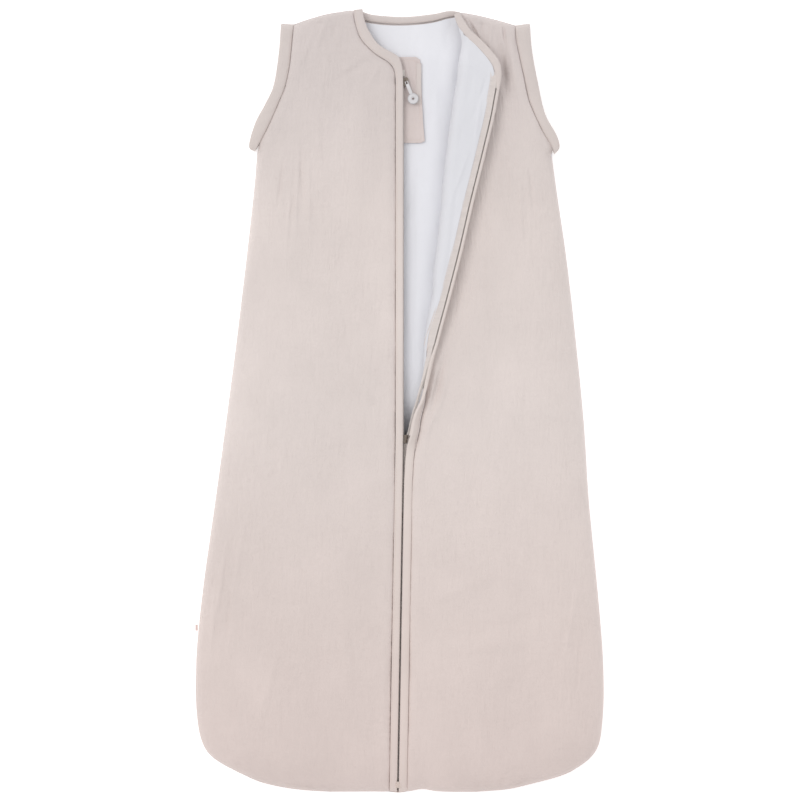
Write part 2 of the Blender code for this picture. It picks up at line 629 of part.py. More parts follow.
def main():
    for old in list(bpy.data.objects):
        bpy.data.objects.remove(old)
    make_back()
    make_left_front()
    make_right_front()
    make_flap()
    make_left_binding()
    make_armhole_bands_front()
    make_zip()
    make_flap_edge()
    make_upper_slider()
    make_lower_slider()
    make_side_label()


main()
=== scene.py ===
"""Baby sleeping bag: cloth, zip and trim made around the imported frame.

Metres, +Z up. X runs across the bag, Y from the hem to the neck, the bag lies on z = 0.
Outer cloth is a crinkled double gauze over wadding, with a smooth pale lining inside.
"""
import json
import math

import bmesh
import bpy
import numpy as np
from mathutils import Matrix, Vector


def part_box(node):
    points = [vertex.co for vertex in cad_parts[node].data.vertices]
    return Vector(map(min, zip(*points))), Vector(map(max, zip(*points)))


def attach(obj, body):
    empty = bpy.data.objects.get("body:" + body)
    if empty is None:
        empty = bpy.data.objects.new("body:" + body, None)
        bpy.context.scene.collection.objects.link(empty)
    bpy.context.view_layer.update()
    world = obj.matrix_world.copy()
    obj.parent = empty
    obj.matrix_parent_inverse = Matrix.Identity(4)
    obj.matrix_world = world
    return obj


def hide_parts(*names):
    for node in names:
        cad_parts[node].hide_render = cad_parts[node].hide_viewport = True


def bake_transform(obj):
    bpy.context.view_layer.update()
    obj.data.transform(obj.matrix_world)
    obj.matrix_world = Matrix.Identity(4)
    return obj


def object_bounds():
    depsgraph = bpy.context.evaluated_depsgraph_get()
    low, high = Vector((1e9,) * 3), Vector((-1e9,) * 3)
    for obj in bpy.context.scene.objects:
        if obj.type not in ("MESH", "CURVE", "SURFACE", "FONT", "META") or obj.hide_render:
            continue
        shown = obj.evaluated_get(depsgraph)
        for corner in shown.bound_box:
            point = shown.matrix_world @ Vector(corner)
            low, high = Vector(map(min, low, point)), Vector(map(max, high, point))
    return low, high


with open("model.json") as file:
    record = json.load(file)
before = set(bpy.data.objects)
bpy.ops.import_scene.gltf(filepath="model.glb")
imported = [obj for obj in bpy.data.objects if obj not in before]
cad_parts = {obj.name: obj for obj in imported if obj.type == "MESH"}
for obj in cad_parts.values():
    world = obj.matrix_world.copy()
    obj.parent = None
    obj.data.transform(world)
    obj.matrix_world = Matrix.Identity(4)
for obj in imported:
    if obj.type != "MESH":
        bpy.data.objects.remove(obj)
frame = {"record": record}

cad_low, cad_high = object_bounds()

MM = 0.001
UP = np.array((0.0, 0.0, 1.0))
DOWN = -UP
HALF_LENGTH = (cad_high[1] - cad_low[1]) / 2
CHEST_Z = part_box("front_left_outer")[1][2]       # outer face of the front, at the chest
NECK_Z = CHEST_Z - 12 * MM
RAMP_Y = (-40 * MM, 440 * MM)                    # the front comes down towards the neck
SEAM_Z = 9 * MM                                  # where front and back cloth are sewn together
BACK_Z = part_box("back_lining")[1][2]
SEAM_SLACK = 0.4 * MM                            # width of the seam itself, which stays flat
QUILT = 7.3 * MM
ZIP_X = 5.2 * MM
ZIP_BEND_Y = -40 * MM
ZIP_LEAN = 0.01736
HEM_Y = -450 * MM
COIL_PITCH = 1.3 * MM


def mm(*points):
    """Points given in millimetres, in metres."""
    return np.array(points, float) * MM


# Seam lines of the bag in plan, from the hem upwards, in millimetres.
LEFT_EDGE = mm((-80, -450), (-119, -447), (-157, -440), (-179, -431), (-201, -420), (-217, -409),
               (-226, -396), (-231.5, -376), (-234.3, -345), (-234.3, -315), (-232.5, -277),
               (-225, -208), (-212, -116), (-199.5, -24), (-187.5, 68), (-176.5, 160),
               (-167.5, 240), (-163.6, 286))
LEFT_ARMHOLE = mm((-163.6, 286), (-159.7, 297.3), (-150.1, 315.7), (-138.6, 342.1),
                  (-131, 361.1), (-125.5, 388.1), (-121.3, 433))
LEFT_BAND = mm((-166.5, 287), (-173, 292.5), (-165.6, 319.1), (-153.5, 342.1), (-144.3, 363.4),
               (-138.6, 400.8), (-136.3, 434.1))
LEFT_SHOULDER = mm((-121.3, 433), (-101, 440), (-80, 445.5), (-53, 449.4))
RIGHT_EDGE = mm((89, -450), (124, -447), (155, -440), (189, -431), (209, -420), (222, -409),
                (229.5, -396), (233, -376), (235, -345), (234.8, -315), (233, -277), (227, -208),
                (218, -116), (212, -24), (203, 68), (192.6, 160), (181, 240), (175.2, 283))
RIGHT_ARMHOLE = mm((175.2, 283), (175.2, 291.5), (163.3, 311.1), (148.9, 343.3), (142, 374.3),
                   (134, 413.4), (132.8, 431.8))
RIGHT_BAND = mm((178.5, 283.5), (184, 291), (180.5, 305), (167.3, 329.5), (159.3, 364),
                (152.4, 402), (150, 434.1))
RIGHT_SHOULDER = mm((132.8, 431.8), (112, 438), (90.3, 443.3), (70.7, 446.8))
BACK_NECK_EDGE = mm((-50, 449), (-44.3, 448.6), (-29.3, 444.2), (5.2, 442.0), (37.4, 445),
                    (56.9, 448.8), (69, 447.6))
BACK_NECK_SEAM = mm((-53, 440), (-38, 436.2), (-15.5, 433.4), (10.9, 433.2), (37.4, 435.9),
                    (56.9, 441), (72, 443))
LEFT_NECK_SEAM = mm((-52.5, 449), (-51.2, 435.3), (-44.3, 415.7), (-29.3, 399.6), (-12.1, 388.1),
                    (-6, 379), (-4.3, 366))
LEFT_NECK_EDGE = mm((-42.5, 450), (-40.5, 438.5), (-35.1, 424.9), (-23.6, 408.8), (-2.9, 396.2),
                    (2, 388), (4.3, 376))

# The fold of the right front, by height on the bag: where the cloth starts to turn, the length
# of flap beyond the turn, the turn's inner radius, the thickness and the turn in degrees.
FOLD_KEYS = np.array((
    (-95, 14.7, 9.55, 1.5, 7.3, 0), (-81, 15.6, 9.6, 1.5, 7.3, 0), (-70, 16.3, 9.6, 1.5, 7.0, 4),
    (-58, 18.0, 9.6, 1.5, 6.4, 15), (-52, 18.9, 9.6, 1.5, 6.0, 26), (-46.6, 19.8, 9.6, 1.5, 5.6, 38),
    (-35, 22.4, 9.6, 1.5, 5.0, 48), (-23.6, 24.0, 9.6, 1.5, 4.4, 53), (-12, 26.6, 9.4, 1.5, 3.9, 62),
    (-0.6, 29.2, 9.0, 1.5, 3.6, 86), (11, 30.3, 8.4, 1.5, 3.6, 105), (22.4, 31.1, 7.4, 1.6, 4.0, 125),
    (45, 33.0, 7.6, 2.2, 4.4, 158), (57, 34.2, 8.6, 2.7, 4.8, 172), (68, 36.0, 9.4, 3.0, 5.2, 180),
    (114, 45.4, 12.2, 4.0, 6.0, 180), (172, 53.3, 19.2, 4.2, 7.3, 180), (229, 59.6, 26.0, 4.2, 7.3, 180),
    (287, 65.3, 34.6, 4.2, 7.3, 180), (341, 72.5, 39.4, 4.0, 7.3, 180), (367, 77.0, 39.4, 4.0, 7.3, 180),
    (383, 78.5, 36.6, 3.6, 7.0, 180), (395, 79.0, 28.0, 3.2, 6.4, 180), (405, 79.3, 19.0, 2.8, 5.8, 180),
    (414, 78.6, 13.0, 2.4, 5.0, 180), (425, 75.5, 9.0, 2.0, 4.4, 180), (436, 69.5, 8.0, 1.6, 3.8, 180),
    (447, 65.5, 7.0, 1.2, 3.4, 180)))
# Where the flap's zip tape twists off the fold next to the slider: height on the bag, then the
# place across and the level over the front of its outer and inner edge.
TWIST_KEYS = np.array((
    (-44, 5.9, -5.6, 8.2, -4.8), (-38, 8.6, -5.0, 11.0, -3.0), (-30, 10.6, -3.6, 12.8, -1.0),
    (-23.6, 12.0, -2.6, 14.4, 0.5), (-12, 15.0, -0.4, 17.8, 3.0), (-0.6, 18.8, 2.4, 21.4, 5.4),
    (11, 21.8, 4.6, 24.8, 7.0), (22.4, 25.0, 5.8, 28.4, 8.0), (34, 27.6, 6.6, 31.8, 8.4),
    (45, 29.6, 7.2, 35.0, 8.6), (57, 31.8, 7.8, 37.8, 8.8), (68, 33.6, 8.6, 40.6, 9.4)))
FLAP_NECK_EDGE = mm((114.4, 356), (116.2, 366), (116.9, 376), (115.2, 387), (108.6, 397.5), (95.5, 412),
                    (82.5, 424.5), (74, 437), (68.5, 446.5))
FLAP_NECK_SEAM = mm((110.9, 356), (110.4, 365), (108.6, 374), (105.4, 383), (100, 391.5), (88.2, 405),
                    (76.3, 417), (67.2, 430), (62.5, 443.5))

BINDING_EDGE = 0.9 * MM                          # from the zip line to a binding's folded edge
BINDING_SEAM = 9.6 * MM                          # its seam, from the zip line on the left and its edge on the right
ROW_PITCH = 2.6 * MM
STRIP_PITCH = 1.5 * MM
CLOTH_TOP = 430 * MM                             # cloth ends here, under the bindings of the neck
EDGE_TOP = 377 * MM                              # neck end of the flap's zip edge
PANEL_COLUMNS = 172
SEAM_RISE = 6.6 * MM                             # steep first rise of the front beside its seams
QUILT_CLOTH = 5.2 * MM                           # outer cloth and wadding, without the lining
HARD_SHARP = 35                                  # degrees at which a hard part keeps its edges
PULL_TURN = math.radians(22)
UPPER_SLIDER_Y = 366.2 * MM
LOWER_SLIDER_Y = -44 * MM


# ---------------------------------------------------------------- curves, fields and noise

def curve_through(points, count):
    """Evenly spaced points on a smooth curve through the given ones."""
    points = np.asarray(points, float)
    ends = np.vstack((2 * points[0] - points[1], points, 2 * points[-1] - points[-2]))
    fine = []
    for a, b, c, d in zip(ends, ends[1:], ends[2:], ends[3:]):
        for t in np.linspace(0, 1, 24, endpoint=False):
            fine.append(0.5 * (2 * b + (c - a) * t + (2 * a - 5 * b + 4 * c - d) * t ** 2
                               + (3 * b - a - 3 * c + d) * t ** 3))
    fine = np.array(fine + [points[-1]])
    return resample(fine, count)


def run_along(line):
    """Length along a line of points, at each of them."""
    return np.r_[0, np.cumsum(np.linalg.norm(np.diff(line, axis=0), axis=1))]


def values_at(at, run, values):
    """Rows of values at given lengths along their line."""
    return np.stack([np.interp(at, run, column) for column in values.T], axis=1)


def resample(line, count):
    """The same line with evenly spaced points."""
    run = run_along(line)
    return values_at(np.linspace(0, run[-1], count), run, line)


def smooth_keys(keys, column, y):
    """One column of a key table at y, as a smooth curve through its keys."""
    places = keys[:, 0]
    values = keys[:, column]
    slopes = np.gradient(values, places)
    flat = np.r_[False, (values[1:-1] - values[:-2]) * (values[2:] - values[1:-1]) <= 0, False]
    slopes[flat] = 0
    y = np.clip(y, places[0], places[-1])
    i = np.clip(np.searchsorted(places, y) - 1, 0, len(places) - 2)
    wide = places[i + 1] - places[i]
    t = (y - places[i]) / wide
    return ((2 * t ** 3 - 3 * t ** 2 + 1) * values[i] + (t ** 3 - 2 * t ** 2 + t) * wide * slopes[i]
            + (3 * t ** 2 - 2 * t ** 3) * values[i + 1] + (t ** 3 - t ** 2) * wide * slopes[i + 1])


def smooth_step(value, low, high):
    t = np.clip((value - low) / (high - low), 0, 1)
    return t * t * (3 - 2 * t)


def swell(distance, reach):
    """Quarter-round rise from 0 at a seam to 1 at the given reach."""
    return np.sqrt(1 - (1 - np.clip((distance - SEAM_SLACK) / reach, 0, 1)) ** 2)


def line_distance(x, y, line):
    """Distance from points to a line of points, by its nearest stretch."""
    best = np.full(x.shape, 1e9)
    for (x0, y0), (x1, y1) in zip(line, line[1:]):
        dx, dy = x1 - x0, y1 - y0
        t = np.clip(((x - x0) * dx + (y - y0) * dy) / (dx * dx + dy * dy), 0, 1)
        best = np.minimum(best, (x - x0 - t * dx) ** 2 + (y - y0 - t * dy) ** 2)
    return np.sqrt(best)


def noise(u, v, seed):
    """Smooth noise from -1 to 1 on a unit lattice."""
    table = np.random.default_rng(seed).uniform(-1, 1, (256, 256))
    iu, iv = np.floor(u).astype(int), np.floor(v).astype(int)
    fu, fv = u - iu, v - iv
    fu, fv = fu * fu * (3 - 2 * fu), fv * fv * (3 - 2 * fv)
    iu, iv, ju, jv = iu & 255, iv & 255, (iu + 1) & 255, (iv + 1) & 255
    return ((table[iu, iv] * (1 - fu) + table[ju, iv] * fu) * (1 - fv)
            + (table[iu, jv] * (1 - fu) + table[ju, jv] * fu) * fv)


def gauze(x, y):
    """Height of the crinkles of double gauze: long ones up the cloth and small ones across."""
    warp = 2.4 * MM * noise(x / (17 * MM), y / (30 * MM), 1)
    long_ones = noise((x + warp) / (2.5 * MM), y / (26 * MM), 2)
    short_ones = noise((x + 0.5 * warp) / (1.9 * MM), y / (10 * MM), 3)
    across = noise(x / (12 * MM), (y + warp) / (2.8 * MM), 4)
    patches = 1 + 0.45 * noise(x / (40 * MM), y / (55 * MM), 5)
    fine = noise(x / (1.7 * MM), (y + warp) / (2.6 * MM), 6)
    return (0.21 * (1 - 2 * np.abs(long_ones)) + 0.15 * short_ones + 0.28 * across
            + 0.13 * fine) * MM * patches


def ridge(x, y, middle, angle, length, width, height):
    """One soft wrinkle, as a stretched bump."""
    c, s = math.cos(math.radians(angle)), math.sin(math.radians(angle))
    dx, dy = x - middle[0] * MM, y - middle[1] * MM
    along, across = dx * c + dy * s, -dx * s + dy * c
    shape = np.exp(-(along / (length * MM)) ** 2) * np.exp(-(across / (width * MM)) ** 2)
    return height * MM * shape


# ---------------------------------------------------------------- the bag's own shape

EDGE_COUNT = 260
HEM_TOP = -420 * MM                              # the hem's corners end here and the sides start
left_outside = np.vstack((curve_through(LEFT_EDGE, EDGE_COUNT)[:-1], curve_through(LEFT_ARMHOLE, 90)[:-1],
                          curve_through(LEFT_SHOULDER, 40)))
right_outside = np.vstack((curve_through(RIGHT_EDGE, EDGE_COUNT)[:-1],
                           curve_through(RIGHT_ARMHOLE, 90)[:-1], curve_through(RIGHT_SHOULDER, 40)))


left_seam = curve_through(LEFT_EDGE, 130)
right_seam = curve_through(RIGHT_EDGE, 130)
left_corner = np.searchsorted(left_seam[:, 1], HEM_TOP)
right_corner = np.searchsorted(right_seam[:, 1], HEM_TOP)
side_seams = [left_seam[left_corner:], right_seam[right_corner:]]
hem_seam = np.vstack((left_seam[:left_corner + 1][::-1], right_seam[:right_corner + 1]))
shoulder_seams = [curve_through(line, 16) for line in (LEFT_SHOULDER, RIGHT_SHOULDER)]


def zip_x(y):
    return ZIP_X + ZIP_LEAN * np.minimum(0, y - ZIP_BEND_Y)


def plateau(y):
    """Height of the front's outer face away from its seams."""
    ramp = np.maximum(0, (y - RAMP_Y[0]) / (RAMP_Y[1] - RAMP_Y[0]))
    return CHEST_Z + (NECK_Z - CHEST_Z) * ramp


def seam_distance(x, y):
    """Distance to where front and back are sewn together."""
    seams = (*side_seams, hem_seam, *shoulder_seams)
    return np.minimum.reduce([line_distance(x, y, line) for line in seams])


def front_height(x, y):
    """Height of the front's outer face, without crinkles."""
    side = np.minimum(*(line_distance(x, y, line) for line in side_seams))
    shoulder = np.minimum(*(line_distance(x, y, line) for line in shoulder_seams))
    hem = line_distance(x, y, hem_seam)
    rise = np.minimum(np.minimum(swell(side, 60 * MM), swell(shoulder, 70 * MM)), swell(hem, 45 * MM))
    closed = np.minimum(np.minimum(side, shoulder), hem)
    return SEAM_Z + SEAM_RISE * swell(closed, 7 * MM) + (plateau(y) - SEAM_Z - SEAM_RISE) * rise


def smooth_boundary(line, y):
    """X of a line at y, for a line that only goes up."""
    order = np.maximum.accumulate(line[:, 1] + np.arange(len(line)) * 1e-9)
    return np.interp(y, order, line[:, 0])


# ---------------------------------------------------------------- meshes

def hem_wave(x):
    """How far the hem is drawn up, along its length."""
    return (2.6 * np.exp(-((x - 26 * MM) / (11 * MM)) ** 2) - 1.0 * np.exp(-((x + 1 * MM) / (7 * MM)) ** 2)
            + 0.8 * noise(x / (34 * MM), x * 0, 81)) * MM


def add_piece(name, shell, material, body, replaces=(), sharp=55):
    """Object from (points, faces), riding on a body and standing for CAD nodes."""
    verts, faces = shell
    mesh = bpy.data.meshes.new(name)
    verts = np.array(verts, float)
    verts[:, 1] += hem_wave(verts[:, 0]) * smooth_step(-verts[:, 1], 424 * MM, 449 * MM)
    verts[:, 1] = np.clip(verts[:, 1], -HALF_LENGTH - 1.5 * MM, HALF_LENGTH + 1.5 * MM)
    mesh.from_pydata(verts.tolist(), [], faces)
    made = bmesh.new()
    made.from_mesh(mesh)
    bmesh.ops.recalc_face_normals(made, faces=made.faces)
    made.to_mesh(mesh)
    made.free()
    mesh.shade_smooth()
    mesh.set_sharp_from_angle(angle=math.radians(sharp))
    mesh.materials.append(material)
    made = bpy.data.objects.new(name, mesh)
    bpy.context.scene.collection.objects.link(made)
    if body:
        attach(made, body)
    if replaces:
        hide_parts(*replaces)
    return made


def body_mesh(top, inward, thickness, stride=5):
    """Closed body under a grid of points: fine on top, coarse underneath, walled all round."""
    rows, columns = top.shape[:2]
    low = top + inward * np.asarray(thickness)[..., None] if np.ndim(thickness) else top + inward * thickness
    number = np.arange(rows * columns).reshape(rows, columns)
    corner = (number[:-1, :-1], number[:-1, 1:], number[1:, 1:], number[1:, :-1])
    faces = np.stack(corner, axis=-1).reshape(-1, 4).tolist()
    row_keys = sorted(set(list(range(0, rows, stride)) + [rows - 1]))
    column_keys = sorted(set(list(range(0, columns, stride)) + [columns - 1]))
    under = -np.ones((rows, columns), int)
    wanted = np.zeros((rows, columns), bool)
    wanted[0] = wanted[-1] = True
    wanted[:, 0] = wanted[:, -1] = True
    wanted[np.ix_(row_keys, column_keys)] = True
    under[wanted] = rows * columns + np.arange(wanted.sum())
    for r0, r1 in zip(row_keys, row_keys[1:]):
        for c0, c1 in zip(column_keys, column_keys[1:]):
            down = range(r0, r1) if c0 == 0 else (r0,)
            right = range(c0, c1) if r1 == rows - 1 else (c0,)
            up = range(r1, r0, -1) if c1 == columns - 1 else (r1,)
            left = range(c1, c0, -1) if r0 == 0 else (c1,)
            loop = [under[r, c0] for r in down] + [under[r1, c] for c in right]
            loop += [under[r, c1] for r in up] + [under[r0, c] for c in left]
            faces.append([int(v) for v in loop])
    border = [(0, c) for c in range(columns)] + [(r, columns - 1) for r in range(1, rows)]
    border += [(rows - 1, c) for c in range(columns - 2, -1, -1)] + [(r, 0) for r in range(rows - 2, 0, -1)]
    for a, b in zip(border, border[1:] + border[:1]):
        faces.append([int(number[b]), int(number[a]), int(under[a]), int(under[b])])
    return np.vstack((top.reshape(-1, 3), low[wanted])), faces


def tube_mesh(rings, closed=False):
    """Skin over a list of rings of points. Ends are capped, or the last ring meets the first."""
    rings = np.asarray(rings)
    count, sides = rings.shape[:2]
    number = np.arange(count * sides).reshape(count, sides)
    after = np.roll(number, -1, axis=1)
    if closed:
        ahead, ahead_after = np.roll(number, -1, axis=0), np.roll(after, -1, axis=0)
    else:
        ahead, ahead_after, number, after = number[1:], after[1:], number[:-1], after[:-1]
    faces = np.stack((number, after, ahead_after, ahead), axis=-1).reshape(-1, 4).tolist()
    if not closed:
        faces.append(list(range(sides))[::-1])
        faces.append(list(range((count - 1) * sides, count * sides)))
    return rings.reshape(-1, 3), faces


def join_meshes(parts):
    """Several (points, faces) as one."""
    points, faces, start = [], [], 0
    for some, more in parts:
        points.append(np.asarray(some))
        faces += [[v + start for v in face] for face in more]
        start += len(some)
    return np.vstack(points), faces


def lines_up(points):
    """Unit directions along a line of points."""
    way = np.gradient(points, axis=0)
    return way / np.linalg.norm(way, axis=1)[:, None]


# Cross-section of a binding: across from its seam (0) to its folded edge (1), and half heights.
BINDING_SECTION = ((0.0, -0.15), (0.02, 0.35), (0.09, 0.72), (0.22, 0.93), (0.45, 1.0), (0.68, 1.0),
                   (0.85, 0.9), (0.95, 0.62), (1.0, 0.1), (0.97, -0.5), (0.88, -0.85), (0.7, -1.0),
                   (0.4, -1.0), (0.12, -0.95), (0.02, -0.65))


def ribbon_rings(seam, edge, thickness, section=BINDING_SECTION, ripple=0.0):
    """Rings of a strip between a seam line and an edge line, with its top face at their height."""
    run = run_along(edge)
    rings = []
    for across, level in section:
        wave = ripple * noise(run / (5 * MM), np.full_like(run, 3 * across), 21)
        wave += 0.7 * ripple * noise(run / (1.9 * MM), np.full_like(run, 7 * across), 22)
        lift = (level - 1) * thickness / 2 + wave * max(0.0, level)
        rings.append(seam + (edge - seam) * across + UP * np.reshape(lift, (-1, 1)))
    return np.stack(rings, axis=1)


STITCH_LENGTH = 2.3 * MM
STITCH_PITCH = 3.1 * MM
THREAD_RADIUS = 0.22 * MM


def stitch_row(line):
    """A row of sewn stitches along a line: short threads that dip at both ends."""
    run = run_along(line)
    parts = []
    steps = np.linspace(0, 1, 5)
    for start in np.arange(0.5 * MM, run[-1] - STITCH_LENGTH, STITCH_PITCH):
        middle = values_at(start + steps * STITCH_LENGTH, run, line)
        side = np.cross(lines_up(middle), UP)
        sink = (4 * (steps - 0.5) ** 2)[:, None]
        middle = middle - UP * sink * 0.35 * MM + UP * 0.08 * MM
        turns = np.linspace(0, 2 * math.pi, 6, endpoint=False)
        size = THREAD_RADIUS * (1 - 0.45 * sink)
        rings = [middle + side * size * math.cos(t) + UP * size * math.sin(t) for t in turns]
        parts.append(tube_mesh(np.stack(rings, axis=1)))
    return join_meshes(parts)


# ---------------------------------------------------------------- materials

def srgb(red, green, blue):
    """Linear colour from one in screen values."""
    return tuple(((c / 255 + 0.055) / 1.055) ** 2.4 if c > 10 else c / 255 / 12.92
                 for c in (red, green, blue)) + (1.0,)


class Shader:
    """A Principled material with short helpers for its nodes."""

    def __init__(self, name, colour, roughness, sheen=0.0):
        self.material = bpy.data.materials.new(name)
        self.material.use_nodes = True
        self.tree = self.material.node_tree
        self.main = self.tree.nodes["Principled BSDF"]
        self.main.inputs["Base Color"].default_value = colour
        self.main.inputs["Roughness"].default_value = roughness
        self.main.inputs["Specular IOR Level"].default_value = 0.25
        self.main.inputs["Sheen Weight"].default_value = sheen
        self.main.inputs["Sheen Roughness"].default_value = 0.6
        self.place = self.tree.nodes.new("ShaderNodeTexCoord").outputs["Object"]
        self.height = None

    def node(self, kind, **values):
        made = self.tree.nodes.new(kind)
        for key, value in values.items():
            if key in made.inputs:
                made.inputs[key].default_value = value
            else:
                setattr(made, key, value)
        return made

    def link(self, start, end):
        self.tree.links.new(start, end)

    def stretched(self, scale):
        """Object coordinates, scaled by axis."""
        mapping = self.node("ShaderNodeMapping")
        mapping.inputs["Scale"].default_value = scale
        self.link(self.place, mapping.inputs["Vector"])
        return mapping.outputs["Vector"]

    def noise(self, scale, detail=2.0, rough=0.5):
        made = self.node("ShaderNodeTexNoise", Scale=1.0, Detail=detail, Roughness=rough)
        self.link(self.stretched(scale), made.inputs["Vector"])
        return made.outputs["Fac"]

    def wave(self, scale, direction):
        made = self.node("ShaderNodeTexWave", Scale=1.0, Distortion=0.35)
        made.bands_direction = direction
        self.link(self.stretched(scale), made.inputs["Vector"])
        return made.outputs["Fac"]

    def tint(self, factor, dark, light):
        """Colour between two tones by a factor."""
        ramp = self.node("ShaderNodeValToRGB")
        ramp.color_ramp.elements[0].position = 0.3
        ramp.color_ramp.elements[0].color = dark
        ramp.color_ramp.elements[1].position = 0.7
        ramp.color_ramp.elements[1].color = light
        self.link(factor, ramp.inputs["Fac"])
        self.link(ramp.outputs["Color"], self.main.inputs["Base Color"])
        return ramp.outputs["Color"]

    def fade(self, colour, stops):
        """Shade a colour along the bag's length, by (height on the bag, red, green, blue)."""
        place = self.node("ShaderNodeSeparateXYZ")
        self.link(self.place, place.inputs["Vector"])
        span = self.node("ShaderNodeMapRange")
        span.inputs["From Min"].default_value = -HALF_LENGTH
        span.inputs["From Max"].default_value = HALF_LENGTH
        self.link(place.outputs["Y"], span.inputs["Value"])
        ramp = self.node("ShaderNodeValToRGB")
        marks = ramp.color_ramp.elements
        while len(marks) < len(stops):
            marks.new(0.5)
        for mark, (height, *shade) in zip(marks, stops):
            mark.position = (height + HALF_LENGTH) / (2 * HALF_LENGTH)
            mark.color = (*shade, 1.0)
        self.link(span.outputs["Result"], ramp.inputs["Fac"])
        mix = self.node("ShaderNodeMix", data_type="RGBA", blend_type="MULTIPLY")
        mix.inputs["Factor"].default_value = 1.0
        self.link(colour, mix.inputs["A"])
        self.link(ramp.outputs["Color"], mix.inputs["B"])
        self.link(mix.outputs["Result"], self.main.inputs["Base Color"])

    def bump(self, height, strength, distance):
        """Add a layer of bump under the ones before."""
        made = self.node("ShaderNodeBump", Strength=strength, Distance=distance)
        self.link(height, made.inputs["Height"])
        if self.height is not None:
            self.link(self.height, made.inputs["Normal"])
        self.height = made.outputs["Normal"]
        self.link(self.height, self.main.inputs["Normal"])


def tone(colour, factor):
    return tuple(channel * factor for channel in colour[:3]) + (1.0,)


def woven(shader, pitch, strength):
    """Fine weave of warp and weft."""
    shader.bump(shader.wave((1 / pitch, 1, 1), "X"), strength, 0.12 * MM)
    shader.bump(shader.wave((1, 1 / pitch, 1), "Y"), strength, 0.12 * MM)


# Painted shade along the bag: darker towards the shoulders, where the cloth curves away from the light, and darker
# and warmer towards the hem; height, then the share of each colour kept.
SHADE_AND_TONE_ALONG_BAG = ((-0.45, 0.95, 0.90, 0.89), (-0.26, 0.975, 0.945, 0.935), (-0.02, 1.0, 1.0, 1.0),
        (0.22, 1.0, 1.0, 1.0), (0.36, 0.92, 0.925, 0.935), (0.45, 0.89, 0.895, 0.91))


def make_muslin(name, colour, crinkle=1.0):
    shader = Shader(name, colour, 0.92, 0.12)
    patches = shader.noise((14, 9, 14), 3.0, 0.6)
    # painted shade along the bag's length, multiplied into the gauze colour
    shader.fade(shader.tint(patches, tone(colour, 0.955), tone(colour, 1.03)), SHADE_AND_TONE_ALONG_BAG)
    shader.bump(shader.noise((620, 70, 620), 3.0, 0.62), 0.95 * crinkle, 0.65 * MM)
    shader.bump(shader.noise((110, 420, 110), 2.0, 0.6), 0.7 * crinkle, 0.5 * MM)
    woven(shader, 0.55 * MM, 0.18)
    return shader.material


def make_smooth_cotton(name, colour, roughness=0.85, pitch=0.4 * MM):
    shader = Shader(name, colour, roughness, 0.08)
    shader.tint(shader.noise((22, 18, 22), 3.0, 0.6), tone(colour, 0.98), tone(colour, 1.015))
    shader.bump(shader.noise((160, 120, 160), 3.0, 0.6), 0.25, 0.3 * MM)
    woven(shader, pitch, 0.16)
    return shader.material


def make_tape(name, colour):
    """Twill tape of the zip."""
    shader = Shader(name, colour, 0.7, 0.1)
    shader.tint(shader.noise((60, 300, 60), 2.0, 0.5), tone(colour, 0.95), tone(colour, 1.03))
    shader.bump(shader.wave((900, 500, 1), "DIAGONAL"), 0.5, 0.2 * MM)
    shader.bump(shader.noise((900, 900, 900), 1.0, 0.5), 0.2, 0.1 * MM)
    return shader.material


def make_hard(name, colour, roughness, metallic=0.0):
    """Moulded nylon or plated metal, with a faint unevenness."""
    shader = Shader(name, colour, roughness, 0.0)
    shader.main.inputs["Metallic"].default_value = metallic
    shader.main.inputs["Specular IOR Level"].default_value = 0.5
    shader.tint(shader.noise((180, 180, 180), 2.0, 0.5), tone(colour, 0.95), tone(colour, 1.04))
    shader.bump(shader.noise((1400, 1400, 1400), 3.0, 0.6), 0.06, 0.15 * MM)
    return shader.material


MUSLIN = srgb(222, 211, 207)
BIAS = srgb(222, 211, 206)
muslin = make_muslin("muslin_gauze", MUSLIN)
bias = make_muslin("bias_cotton", BIAS, 0.55)
band_cotton = make_muslin("band_gauze", srgb(220, 209, 204), 0.6)
lining = make_smooth_cotton("lining_cotton", srgb(221, 221, 226))
# same cloth as lining_cotton, painted lighter to offset the shade deep in the bag's opening
brightened_back_lining = make_smooth_cotton("back_lining_cotton_brightened", srgb(232, 232, 237))
tape = make_tape("zip_tape", srgb(219, 210, 206))
nylon = make_hard("coil_nylon", srgb(216, 210, 205), 0.45)
gunmetal = make_hard("slider_metal", srgb(128, 118, 110), 0.35, 0.85)
pull_plastic = make_hard("pull_plastic", srgb(214, 212, 214), 0.38)
guard_cloth = make_muslin("guard_gauze", srgb(222, 209, 205), 0.7)
label_ribbon = make_smooth_cotton("label_ribbon", srgb(228, 205, 200), 0.6, 0.35 * MM)
thread = make_smooth_cotton("sewing_thread", srgb(220, 205, 197), 0.7, 0.2 * MM)
pale_thread = make_smooth_cotton("pale_thread", srgb(226, 224, 228), 0.7, 0.2 * MM)


# ---------------------------------------------------------------- quilted panels

def edge_steps(count, fine, power):
    """Steps from 0 to 1 that start small, next to a seam."""
    t = np.linspace(0, 1, count)
    return (1 - fine) * t + fine * t ** power


def row_heights():
    """Heights of the grid rows: close together at the hem and at the shoulders."""
    hem = HEM_Y + 12 * MM * np.linspace(0, 1, 14) ** 1.7
    body = np.arange(hem[-1] + ROW_PITCH, 425 * MM, ROW_PITCH)
    top = np.linspace(426.5 * MM, 448.8 * MM, 18)
    return np.r_[hem, body, top]


def wadding_waves(x, y):
    """Broad unevenness of the filling."""
    return (1.0 * noise(x / (46 * MM), y / (60 * MM), 8) + 0.5 * noise(x / (21 * MM), y / (34 * MM), 9)) * MM


